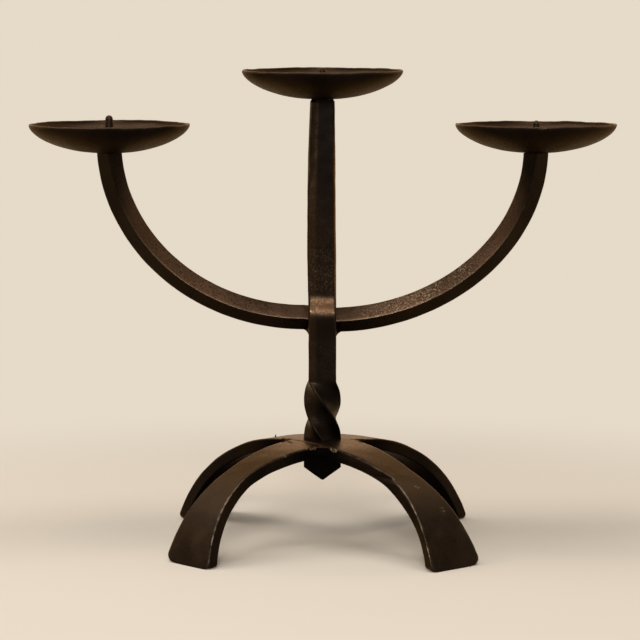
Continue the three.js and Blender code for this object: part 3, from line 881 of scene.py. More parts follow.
@dataclass
class ArmBar(ForgedBar):
    """Square bar on edge, through the eye in the stem, that sweeps up to both pans."""

    left: Arm = Arm(Side.LEFT, 142.8 * MM, 117.7 * MM, 12.5 * MM, 1.3 * MM)
    right: Arm = Arm(Side.RIGHT, 143 * MM, 116 * MM, 5.3 * MM, -0.6 * MM)
    side: float = 12 * MM
    corner: float = 0.5 * MM
    seat_height: float = 262.9 * MM
    height: float = 151 * MM
    step: float = 1.2 * MM
    steps_in_eye: int = 14
    hole_half_length: float = 40 * MM
    fit_gap: float = 0.15 * MM
    # Painted highlight, flakes partly painted as glints, and painted shade by the distance along X, edge wear
    # near the ends, and how far the faces look up or down and to the front
    flaked: Profile = Profile((18, 30, 44, 76, 84, 92, 96, 104), (0, 0.3, 0.8, 0.8, 0.25, 0.7, 0.7, 0))
    thinned: Profile = Profile(
        (-138, -122, -106, -90, -70, -50, -34, -12, 18, 37, 62, 76, 92, 118, 138),
        (0, 0.5, 0.85, 1, 1, 0.52, 0.55, 0.4, 0.4, 0.76, 1, 0.6, 0.6, 0.8, 0))
    sooty: Profile = Profile((-120, -90, -50, -25, 40, 70, 100, 120), (0, 0.25, 0.25, 0, 0, 0.15, 0.1, 0))
    sooty_ends: Profile = Profile((128, 138), (0, 0.3))
    edge_wear: Profile = Profile((105, 128), (1, 0.6))
    facing_up: Range = (0.06, 0.25)
    facing_front: Range = (0.12, 0.5)

    def arm_stations(self, arm: Arm) -> list[Station]:
        """Works out an arm's stations from the eye out to the seat.

        Args:
            arm: The arm.

        Returns:
            The stations. The last one is level, where the arm ends under its pan.
        """
        side = arm.side.value
        start = self.height + arm.lift
        end_angle = math.acos(max(0.0, 1 - (self.seat_height - start) / arm.rise))
        sweep = arm.reach - arm.straight
        count = round(end_angle * arm.rise / self.step)
        found = []
        for index in range(count + 1):
            angle = end_angle * index / count
            tangent = Vector((sweep * math.cos(angle), 0, side * arm.rise * math.sin(angle)))
            tangent = UP * side if index == count else tangent.normalized()
            center = Vector((side * (arm.straight + sweep * math.sin(angle)), 0,
                             start + arm.rise * (1 - math.cos(angle))))
            normal = Vector((-tangent.z, 0, tangent.x))
            back = Vector((0, 1, 0))
            across, outward = (back - normal).normalized(), (back + normal).normalized()
            found.append(Station(center, across, outward, self.side / 2, self.side / 2, self.corner,
                                 self.corner))
        return found

    def stations(self) -> list[Station]:
        """Works out the whole bar's stations.

        Returns:
            The stations from the left seat to the right seat.
        """
        left, right = self.arm_stations(self.left)[::-1], self.arm_stations(self.right)
        bridge = [replace(left[-1], center=left[-1].center.lerp(right[0].center, share))
                  for share in steps(0, 1, 1 / self.steps_in_eye)[1:-1]]
        return [*left, *bridge, *right]

    def make(self) -> Object:
        """Makes the bar, with a painted highlight and flakes partly painted as glints on the faces that look
        up to the front, and painted shade on those that look down to the front and near the pans.

        Returns:
            The finished piece.
        """
        bar = self.sweep("arm_bar_forged", self.stations())
        skin = Skin(bar)
        x, up = skin.points[:, 0], skin.normals[:, 2]
        front = ramp(-skin.normals[:, 1], *self.facing_front)
        upper, lower = ramp(up, *self.facing_up) * front, ramp(-up, *self.facing_up) * front
        # Painted highlight and flakes on the lit upper front faces, painted shade on the lower front faces
        # and near the pans
        skin.age(thin=[upper * self.thinned.at(x)], flake_and_glint_shares=[upper * self.flaked.at(x)],
                 soot=[lower * self.sooty.at(x), self.sooty_ends.at(np.abs(x))])
        skin.fade("edge", self.edge_wear.at(np.abs(x)))
        return kept(bar, Slot.BAR, "arm_bar")

    def hole(self) -> Object:
        """Makes the solid that cuts the eye's hole.

        Returns:
            A smooth length of the bar, larger by the fit's gap.
        """
        plain = ForgedBar(self.tree, Section(1, 2), replace(self.hammering, depth=0.0), self.finish)
        middle = [station for station in self.stations() if abs(station.center.x) < self.hole_half_length]
        return plain.sweep("eye_hole", middle, self.fit_gap)


@dataclass
class Stem(ForgedBar):
    """Square stem: hammered neck, eye for the arms, twist above the legs and a point below them."""

    side: float = 18.5 * MM
    swell_side: float = 19.3 * MM
    swell_height: float = 190 * MM
    upper_side: float = 18.4 * MM
    upper_height: float = 258 * MM
    neck_side: float = 16.4 * MM
    top_side: float = 14.3 * MM
    top: float = 298.8 * MM
    neck_bevel: float = 1.7 * MM
    neck_steps: int = 3
    bow_left: float = 0.6 * MM
    corner: float = 1.3 * MM
    hammered_corner: float = 5.0 * MM
    hammered_corner_right: float = 1.9 * MM
    hammered_end: float = 238 * MM
    hammered_fade: float = 14 * MM
    eye_height: float = 152.8 * MM
    eye_bulge: float = 3.7 * MM
    eye_half_length: float = 16.5 * MM
    twist_top: float = 109 * MM
    twist_bottom: float = 70.3 * MM
    twist_angle: float = 135
    point_top: float = 49.9 * MM
    point_length: float = 8.6 * MM
    point_tip_side: float = 1.2 * MM
    point_steps: int = 12
    step: float = 0.9 * MM
    # Painted highlight and painted shade by height: painted highlight in a band left of the middle, on the
    #     front, at the right edge and on the eye's upward slope, flakes on the front, and painted shade on
    #     the upper front, low on the stem and on the twist
    band_start: Profile = Profile((230, 292), (3.5, 1.8))
    band_blur: float = 1.6
    band_thin: Profile = Profile((170, 240, 275, 295), (0.06, 0.07, 0.05, 0.03))
    front_thin: Profile = Profile((165, 175, 225, 245), (0, 0.02, 0.02, 0))
    right_thin: Profile = Profile((160, 175, 250, 285), (0, 1, 0.8, 0))
    eye_thin: Profile = Profile((145, 150, 172, 178), (0, 0.12, 0.12, 0))
    front_flakes: Profile = Profile((166, 174, 192, 206), (0, 0.085, 0.06, 0))
    front_soot: Profile = Profile((205, 245), (0, 0.6))
    foot_soot: Profile = Profile((62, 66, 110, 116), (1, 0.5, 0.4, 0))
    # How far a face looks to the front, right or up where its painted highlight or painted shade begins and
    # is full
    front_facing: Range = (0.8, 0.95)
    band_facing: Range = (0.25, 0.5)
    right_facing: Range = (0.25, 0.5)
    right_flat: Range = (0.98, 0.88)
    slope_facing: Range = (0, 0.33)

    def side_at(self, height: float) -> float:
        """Works out the width of the stem.

        Args:
            height: Where on the stem.

        Returns:
            Its width there.
        """
        heights = (self.eye_height, self.swell_height, self.upper_height, self.top - self.neck_bevel,
                   self.top)
        sides = (self.side, self.swell_side, self.upper_side, self.neck_side, self.top_side)
        return float(Profile(heights, sides).at(height))

    def station(self, height: float, half: float, scale: float = 1.0) -> Station:
        """Works out one station.

        Args:
            height: Its height.
            half: Half the stem's width there.
            scale: What its corners are multiplied by.

        Returns:
            The station.
        """
        share = float(ramp(height, self.eye_height, self.top))
        center = Vector((-self.bow_left * math.sin(math.pi * share), 0, height))
        offset = float(ramp(abs(height - self.eye_height), 0, self.eye_half_length))
        bulge = self.eye_bulge * math.cos(offset * math.pi / 2) ** 2
        twist = float(ramp(self.twist_top - height, 0, self.twist_top - self.twist_bottom))
        hammered_share = smoothstep(height, self.hammered_end, self.hammered_end + self.hammered_fade)
        return Station(center, *directions(self.twist_angle * twist), half, half + bulge,
                       mix(self.corner, self.hammered_corner, hammered_share) * scale,
                       mix(self.corner, self.hammered_corner_right, hammered_share) * scale)

    def stations(self) -> list[Station]:
        """Works out the stations of the point below the legs, the shaft and the bevelled neck.

        Returns:
            The stations from the bottom up.
        """
        found = []
        for share in steps(0, 1, 1 / self.point_steps):
            height = mix(self.point_top - self.point_length, self.point_top, share)
            half = mix(self.point_tip_side, self.side, share) / 2
            found.append(self.station(height, half, mix(self.point_tip_side / self.side, 1, share)))
        neck_start = self.top - self.neck_bevel
        for height in steps(self.point_top, neck_start, self.step)[1:]:
            found.append(self.station(height, self.side_at(height) / 2))
        for height in steps(neck_start, self.top, self.neck_bevel / self.neck_steps)[1:]:
            neck = self.station(height, self.side_at(height) / 2)
            found.append(replace(neck, half_depth=self.neck_side / 2))
        return found

    def make(self, arm_bar: ArmBar) -> Object:
        """Makes the stem with the hole for the arms.

        Args:
            arm_bar: The bar that goes through its eye.

        Returns:
            The finished piece.
        """
        stem = carved(self.sweep("stem_forged", self.stations()), arm_bar.hole())
        skin = Skin(stem)
        left, height = -skin.points[:, 0], skin.points[:, 2]
        right, front, up = skin.normals[:, 0], -skin.normals[:, 1], skin.normals[:, 2]
        flat_front, eye_slope = ramp(front, *self.front_facing), ramp(up, *self.slope_facing)
        left_band = ramp(left - self.band_start.at(height), 0, self.band_blur)
        left_band *= ramp(front, *self.band_facing)
        right_edge = ramp(right, *self.right_facing) * ramp(right, *self.right_flat)
        # Painted highlight where light falls on the stem; painted shade high on the front face and on
        # everything low, the twist among it
        skin.age(
            thin=[left_band * self.band_thin.at(height), flat_front * self.front_thin.at(height),
                  right_edge * self.right_thin.at(height), eye_slope * self.eye_thin.at(height)],
            soot=[flat_front * (1 - left_band) * self.front_soot.at(height), self.foot_soot.at(height)],
            flake_and_glint_shares=[flat_front * self.front_flakes.at(height)])
        return kept(stem, Slot.BAR, "stem")


@dataclass(frozen=True)
class Leg:
    """One leg: its direction, its reach beyond the arch, how its foot lies, its rubbed inner edge with
    painted highlight lines.
    """

    angle: float
    extra_reach: float
    foot_half_width: float
    foot_set: float
    rubbed: Profile = Profile((0,), (0,))

    @property
    def outer(self) -> int:
        """Which of its sides is the outer one, for a front leg: 1 for its left and -1 for its right."""
        return 1 if math.cos(math.radians(self.angle)) > 0 else -1

    def split(self, rows: np.ndarray) -> tuple[np.ndarray, np.ndarray]:
        """Returns the parts of vectors along the leg's direction and to its left."""
        along, left = (rows @ np.array(direction) for direction in directions(self.angle))
        return along, left


@dataclass
class LegBar(ForgedBar):
    """Flat bar arched from a back foot over the crown to the opposite front foot."""

    crown_top: float = 69.1 * MM
    thickness: float = 8 * MM
    corner: float = 1.1 * MM
    reach: float = 126.5 * MM
    crown_handle: float = 60.8 * MM
    knee_reach: float = 112.4 * MM
    knee_height: float = 52.8 * MM
    crown_half_width: float = 15.6 * MM
    eye_length: float = 18 * MM
    bend_length: float = 24 * MM
    waist_half_width: float = 11.1 * MM
    waist_distance: float = 80 * MM
    flare_power: float = 1.2
    foot_corner: float = 5.5 * MM
    foot_steps: int = 8
    arch_points: int = 801
    step: float = 1.1 * MM

    def arch(self, leg: Leg) -> tuple[np.ndarray, np.ndarray, np.ndarray]:
        """Works out a leg's arch.

        Args:
            leg: The leg.

        Returns:
            Distances along it, and its points and directions there, as radius and height.
        """
        reach = self.reach + leg.extra_reach
        stretch = reach / self.reach
        p0, p1, p2, p3 = (np.array(p) for p in (
            (0, self.crown_top), (self.crown_handle * stretch, self.crown_top),
            (self.knee_reach * stretch, self.knee_height), (reach, 0)))
        t = np.linspace(0, 1, self.arch_points)[:, None]
        points = (1 - t) ** 3 * p0 + 3 * (1 - t) ** 2 * t * p1 + 3 * (1 - t) * t ** 2 * p2 + t ** 3 * p3
        slopes = 3 * (1 - t) ** 2 * (p1 - p0) + 6 * (1 - t) * t * (p2 - p1) + 3 * t ** 2 * (p3 - p2)
        lengths = np.linalg.norm(np.diff(points, axis=0), axis=1)
        return np.concatenate([[0], np.cumsum(lengths)]), points, slopes

    def half_width(self, leg: Leg, distance: float, length: float) -> float:
        """Works out half the width of a leg at a distance from the crown's middle.

        Args:
            leg: The leg.
            distance: The distance along it.
            length: Its whole length.

        Returns:
            Half its width there.
        """
        waist = mix(self.crown_half_width, self.waist_half_width,
                    smoothstep(distance, self.eye_length, self.waist_distance))
        flared = waist + (leg.foot_half_width - self.waist_half_width) * self.flare(distance, length)
        into = max(0.0, distance - length + self.foot_corner) / self.foot_corner
        return flared - self.foot_corner * (1 - math.sqrt(max(0.0, 1 - into ** 2)))

    def flare(self, distance: float, length: float) -> float:
        """Returns how far a place is through the flare of the foot, from 0 at the waist to 1."""
        return max(0.0, (distance - self.waist_distance) / (length - self.waist_distance)) ** self.flare_power

    def leg_stations(self, leg: Leg, crown_angle: float) -> list[Station]:
        """Works out a leg's stations from the crown out.

        Args:
            leg: The leg.
            crown_angle: The angle at which the bar goes through the crown.

        Returns:
            The stations, the last one level on the table.
        """
        distances, points, slopes = self.arch(leg)
        length = float(distances[-1])
        corner_start = length - self.foot_corner
        places = steps(0, corner_start, self.step)[:-1]
        places += [corner_start + self.foot_corner * math.sin(turn) for turn in quarter_turn(self.foot_steps)]
        found = []
        for place in places:
            out, height = (float(np.interp(place, distances, points[:, axis])) for axis in (0, 1))
            slope_out, slope_up = (float(np.interp(place, distances, slopes[:, axis])) for axis in (0, 1))
            bend = smoothstep(place, self.eye_length, self.eye_length + self.bend_length)
            along, across = directions(mix(crown_angle, leg.angle, bend))
            slant = math.atan2(slope_out, -slope_up)
            tilt = mix(slant, 0, smoothstep(place, length - self.thickness, length))
            normal = along * math.cos(tilt) + UP * math.sin(tilt)
            thickness = self.thickness / math.cos(slant - tilt)
            top = along * out + UP * height + across * leg.foot_set * self.flare(place, length)
            half = self.half_width(leg, place, length)
            found.append(Station(top - normal * thickness / 2, across, normal, half, thickness / 2,
                                 self.corner, self.corner))
        return found

    def bar(self, name: str, back: Leg, front: Leg) -> Object:
        """Sweeps a whole bar from its front foot to its back foot.

        Args:
            name: The piece's name.
            back: The back leg.
            front: The front leg.

        Returns:
            The uncut bar.
        """
        angle = self.crown_angle(back, front)
        behind = self.leg_stations(back, angle)[1:]
        ahead = self.leg_stations(front, angle + 180)[::-1]
        return self.sweep(name, [*(replace(station, across=-station.across) for station in ahead), *behind])

    @staticmethod
    def crown_angle(back: Leg, front: Leg) -> float:
        """Returns the angle at which a bar goes through the crown, midway between its legs."""
        return (back.angle + front.angle - 180) / 2


def weld_bead(name: str, rings: Sequence[Sequence[Vector]], lumps: Hammering) -> Object:
    """Joins rings of points into a closed lumpy body of weld metal.

    Args:
        name: The bead's name.
        rings: Rings with the same number of points.
        lumps: Its lumps: their depth, the length of one, and where in the noise the bead lies.

    Returns:
        The bead with its finish.
    """
    count = len(rings[0])
    faces = [[ring * count + side, ring * count + (side + 1) % count,
              (ring + 1) * count + (side + 1) % count, (ring + 1) * count + side]
             for ring in range(len(rings) - 1) for side in range(count)]
    last = (len(rings) - 1) * count
    faces += [list(range(count))[::-1], [last + side for side in range(count)]]
    mesh = bpy.data.meshes.new(name)
    mesh.from_pydata([tuple(STEM_AXIS + point) for points in rings for point in points], [], faces)
    mesh.shade_smooth()
    piece = settled(linked(f"{name}_rings", mesh), name)
    piece.data.materials.append(WELD_BEAD.material())
    shift = Vector((lumps.seed, lumps.seed, lumps.seed))
    for vertex in piece.data.vertices:
        vertex.co += vertex.normal * lumps.depth * noise.noise(vertex.co / lumps.size + shift)
    return piece


@dataclass
class Feet:
    """The crossing of the two leg bars, halved into each other round the stem, and its welds."""

    tree: NodeTree
    back_right: Leg = Leg(46.3, -0.7 * MM, 21.5 * MM, -0.6 * MM)
    back_left: Leg = Leg(132.8, -0.7 * MM, 22 * MM, 1 * MM)
    # The front legs' inner edges: rubbed wear and painted highlight lines at these heights
    front_left: Leg = Leg(224, -1.5 * MM, 20.9 * MM, 2.5 * MM, Profile((13, 18, 38, 48), (0.4, 4, 4, 0.6)))
    front_right: Leg = Leg(310.3, 5 * MM, 21 * MM, 3.2 * MM, Profile((7, 14, 36, 43), (0.4, 4, 4, 0.6)))
    # Pockets, the stem's hole and the fillets in the notches
    fit_gap: float = 0.15 * MM
    stem_side: float = 18.5 * MM
    stem_angle: float = 45
    weld_radius: float = 10.5 * MM
    weld_sink: float = 0.7 * MM
    weld_rounding: float = 1.1 * MM
    weld_inner_share: float = 0.7
    weld_step: float = 0.5 * MM
    weld_steps_round: int = 28
    weld_lump_depth: float = 0.5 * MM
    weld_lump_size: float = 3 * MM
    # Painted highlight and painted shade by height or by distance from the stem
    crown_thin: Profile = Profile((26, 50), (0.3, 0))
    leg_thin: Profile = Profile((30, 50, 58, 66), (0, 0.28, 0.1, 0))
    back_notch: Profile = Profile((36, 60, 110), (1, 0.6, 0.2))
    front_notch: Profile = Profile((36, 56), (1, 0))
    hazed: Profile = Profile((30, 45, 58, 80), (0, 0.14, 0.14, 0))
    flank_soot: float = 0.35
    soot_beneath: float = 0.9
    edge_wear: float = 0.4
    # How far a face looks inwards, outwards or up where each kind of wear, painted highlight or painted shade
    # begins and is full
    inner_facing: Range = (0.2, 0.5)
    inner_flat: Range = (0.9, 0.7)
    flank_facing: Range = (0.75, 0.95)
    top_facing: Range = (0.9, 1.1)
    under_facing: Range = (-0.6, -1)
    worn_facing: Range = (-0.3, 0)
    notch_facing: Range = (0.5, 0.3)
    weld_side_facing: Range = (0.8, 0.4)
    # What the hammer did to single places, in plain millimetres: lifted feet, a leaning side, a thorn
    corner_lift: float = 1.7
    lift_height: float = 22
    widened: Profile = Profile((20, 30, 40, 60, 62, 66), (0, 0.5, 1.2, 1.3, 1.2, 0))
    lean: Profile = Profile((0, 7, 16, 26, 36, 42, 46, 49, 51, 54, 58, 62),
                            (1.6, 1.9, 2.4, 1.9, 0.6, -0.2, -0.7, -1, -0.8, -2.3, 0.4, 0))
    lean_from: float = 25
    side_band: Range = (-1.7, -1.25)
    burr_x: float = -34
    burr_half_width: float = 2
    burr_height: float = 2.2
    burr_view_slope: float = 0.2

    def pocket(self, bar: LegBar, angle: float, upward: int) -> Object:
        """Makes the solid that leaves room for the other bar.

        Args:
            bar: The sizes of the bars.
            angle: The other bar's angle through the crown.
            upward: 1 for a pocket in the upper half, -1 for one in the lower half.

        Returns:
            The cutter.
        """
        height = 2 * bar.thickness
        middle = bar.crown_top - bar.thickness / 2 + upward * (height - self.fit_gap) / 2
        width = 2 * (bar.crown_half_width + self.fit_gap)
        return block(STEM_AXIS + UP * middle, (2 * width, width, height), angle)

    def stem_hole(self, bar: LegBar) -> Object:
        """Makes the solid that cuts the stem's square hole through a bar.

        Args:
            bar: The sizes of the bars.

        Returns:
            The cutter.
        """
        side = self.stem_side + 2 * self.fit_gap
        middle = STEM_AXIS + UP * (bar.crown_top - bar.thickness / 2)
        return block(middle, (side, side, 4 * bar.thickness), self.stem_angle)

    def weld(self, place: Place, bar: LegBar, first: float, second: float) -> Object:
        """Makes the hollow fillet in the notch between two legs.

        Args:
            place: Which notch it is.
            bar: The sizes of the bars.
            first: The angle of the leg on its clockwise side.
            second: The angle of the leg on its other side.

        Returns:
            The finished piece.
        """
        middle, half = math.radians((first + second) / 2), math.radians((second - first) / 2)
        corner = bar.crown_half_width / math.sin(half)
        hollow = corner + self.weld_radius / math.sin(half)
        sweep = math.pi / 2 - half
        low, high = bar.crown_top - bar.thickness + self.weld_sink, bar.crown_top - self.weld_sink
        turn = Matrix.Rotation(middle, 3, "Z")
        rings = []
        for height in steps(low, high, self.weld_step):
            inset = max(0.0, 1 - min(height - low, high - height) / self.weld_rounding)
            radius = self.weld_radius + self.weld_rounding * (1 - math.sqrt(1 - inset ** 2))
            outline = [(corner - bar.crown_half_width * self.weld_inner_share, 0)]
            for share in steps(0, 1, 1 / self.weld_steps_round):
                angle = math.pi + mix(sweep, -sweep, share)
                outline.append((hollow + radius * math.cos(angle), radius * math.sin(angle)))
            rings.append([turn @ Vector((x, y, height)) for x, y in outline])
        lumps = Hammering(self.weld_lump_depth, self.weld_lump_size, middle)
        piece = weld_bead(f"crown_weld_{place}_bead", rings, lumps)
        skin = Skin(piece)
        # Painted shade on the bead's sides, which don't face up
        skin.age(soot=[ramp(skin.normals[:, 2], *self.weld_side_facing)])
        return kept(piece, Slot.WELD, f"crown_weld_{place}")

    def age(self, skin: Skin, front: Leg) -> None:
        """Stores a leg bar's rubbed edges with painted highlight lines, its painted highlight on the upper
        faces, its scuffs and painted glints, and its painted shade and cracks.

        Args:
            skin: The bar's surface.
            front: Its front leg.
        """
        height, distance = skin.points[:, 2], np.hypot(skin.points[:, 0], skin.points[:, 1])
        up, in_front = skin.normals[:, 2], skin.points[:, 1] < 0
        inner = -front.outer * front.split(skin.normals)[1]
        inner_edge = ramp(inner, *self.inner_facing) * ramp(inner, *self.inner_flat) * in_front
        # Rubbed wear on the upper edges, with painted highlight lines along the front legs' inner edges
        rubbed = np.maximum(inner_edge * front.rubbed.at(height), self.edge_wear)
        outward = up + (skin.points[:, :2] * skin.normals[:, :2]).sum(axis=1) / (distance + NEARLY_NONE)
        top_side = ramp(outward, *self.top_facing)
        # The finish raises the edge to a power, so its root is stored
        skin.fade("edge", (rubbed * ramp(outward, *self.worn_facing)) ** (1 / IronFinish.wear_power))
        notch = np.where(in_front, self.front_notch.at(distance), self.back_notch.at(distance))
        # Painted highlight on the upper faces near the crown and halfway down; painted shade beneath, on the
        # tops near the crown, on the front legs' inner flanks and in the notches
        skin.age(
            thin=[top_side * self.crown_thin.at(distance), top_side * self.leg_thin.at(height)],
            soot=[self.soot_beneath * ramp(outward, *self.under_facing), top_side * self.hazed.at(distance),
                  self.flank_soot * ramp(inner, *self.flank_facing) * in_front,
                  notch * ramp(up, *self.notch_facing)])

    def settle_feet(self, skin: Skin, front: Leg) -> None:
        """Lifts the outer corner of a bar's front foot a little and keeps the rest on the table.

        Args:
            skin: The bar's surface.
            front: Its front leg.
        """
        along, aside = front.split(skin.points)
        height = skin.points[:, 2]
        outer = np.maximum(0, (aside - front.foot_set / MM) * front.outer / (front.foot_half_width / MM))
        low = ramp(self.lift_height - height, 0, self.lift_height) * (along > 0)
        skin.points[:, 2] = np.maximum(height + self.corner_lift * low * outer ** 2, 0)
        skin.move()

    def lean_side(self, skin: Skin, bar: LegBar) -> None:
        """Moves the inner side of the front right leg, which leans and has a dent in its upper edge.

        Args:
            skin: The bar's surface.
            bar: The bar's sizes.
        """
        leg = self.front_right
        along, aside = leg.split(skin.points)
        chosen = np.flatnonzero((along > self.lean_from) & (aside < 0))
        height = skin.points[chosen, 2]
        distances, arch, _ = bar.arch(leg)
        # Every second point of the arch is near enough
        arch = arch[::2] / MM
        away = np.hypot(along[chosen, None] - arch[:, 0], height[:, None] - arch[:, 1])
        sides = np.array([bar.half_width(leg, place, distances[-1])
                          - leg.foot_set * bar.flare(place, distances[-1]) for place in distances[::2]]) / MM
        beside = ramp(-aside[chosen] - sides[np.argmin(away, axis=1)], *self.side_band)
        on_top = ramp(bar.thickness / MM - np.min(away, axis=1), 0, bar.thickness / MM)
        shift = beside * (self.widened.at(height) + on_top * self.lean.at(height))
        skin.points[chosen] -= shift[:, None] * np.array(directions(leg.angle)[1])
        skin.move()

    def raise_burr(self, skin: Skin) -> None:
        """Pulls up the small thorn of metal that the hammer left on the back left leg.

        Args:
            skin: The bar's surface.
        """
        x, y, z = skin.points.T
        beside = (np.abs(x - self.burr_x) < self.burr_half_width) & (y > 0)
        seen_height = np.where(beside, z + self.burr_view_slope * y, 0)
        skin.points[int(np.argmax(seen_height)), 2] += self.burr_height
        skin.move()

    def make(self) -> None:
        """Makes both bars and their welds."""
        lower = LegBar(self.tree, Section(20, 5), Hammering(0.28 * MM, 12 * MM, 3.0))
        upper = LegBar(self.tree, Section(20, 5), Hammering(0.28 * MM, 12 * MM, 7.0))
        lower_angle = LegBar.crown_angle(self.back_right, self.front_left)
        upper_angle = LegBar.crown_angle(self.back_left, self.front_right)
        low_bar = lower.bar("leg_bar_lower_forged", self.back_right, self.front_left)
        high_bar = upper.bar("leg_bar_upper_forged", self.back_left, self.front_right)
        low_bar = carved(low_bar, self.pocket(lower, upper_angle, 1), self.stem_hole(lower))
        high_bar = carved(high_bar, self.pocket(upper, lower_angle, -1), self.stem_hole(upper))
        low_skin, high_skin = Skin(low_bar), Skin(high_bar)
        self.lean_side(high_skin, upper)
        for skin, front in ((low_skin, self.front_left), (high_skin, self.front_right)):
            self.settle_feet(skin, front)
            self.age(skin, front)
        self.raise_burr(high_skin)
        kept(low_bar, Slot.BAR, "leg_bar_lower")
        kept(high_bar, Slot.BAR, "leg_bar_upper")
        turns = [lower_angle, upper_angle, lower_angle + 180, upper_angle + 180, lower_angle + 360]
        notches = (Place.BACK, Place.LEFT, Place.FRONT, Place.RIGHT)
        for place, first, second in zip(notches, turns, turns[1:]):
            self.weld(place, lower, first, second)


@dataclass(frozen=True)
class ArmWeld:
    """Bead in the corner under an arm where it leaves the stem."""

    arm: Arm
    drop: float
    width: float
    length: float = 10 * MM
    sink: float = 0.6 * MM
    inner_rise: float = 2.5 * MM
    outer_rise: float = 0.4 * MM
    rings_each_way: int = 12
    steps_down: int = 10
    least_bulge: float = 0.02
    bulge_power: float = 0.25
    hollow_power: float = 0.6
    lump_depth: float = 0.25 * MM
    lump_size: float = 2.5 * MM
    seed: float = 3.7

    def make(self, stem: Stem, arm_bar: ArmBar) -> Object:
        """Makes the bead.

        Args:
            stem: The stem's sizes.
            arm_bar: The arm bar's sizes.

        Returns:
            The finished piece.
        """
        side, place = self.arm.side.value, self.arm.side.name.lower()
        under = arm_bar.height + self.arm.lift - arm_bar.side / math.sqrt(2)
        inner = stem.side / 2 - self.sink
        rings = []
        for share in steps(-1, 1, 1 / self.rings_each_way):
            scale = max(self.least_bulge, 1 - share ** 2) ** self.bulge_power
            outline = [(inner, under + self.inner_rise)]
            for turn in steps(0, 1, 1 / self.steps_down):
                bow = (1 - math.sqrt(1 - (1 - turn) ** 2)) if turn else 1.0
                outline.append((inner + (self.width + self.sink) * scale * bow ** self.hollow_power,
                                under + self.outer_rise - self.drop * scale * turn))
            rings.append([Vector((side * x, share * self.length / 2, z)) for x, z in outline])
        lumps = Hammering(self.lump_depth, self.lump_size, side * self.seed)
        return kept(weld_bead(f"arm_weld_{place}_bead", rings, lumps), Slot.WELD, f"arm_weld_{place}")


# Pans and prickets


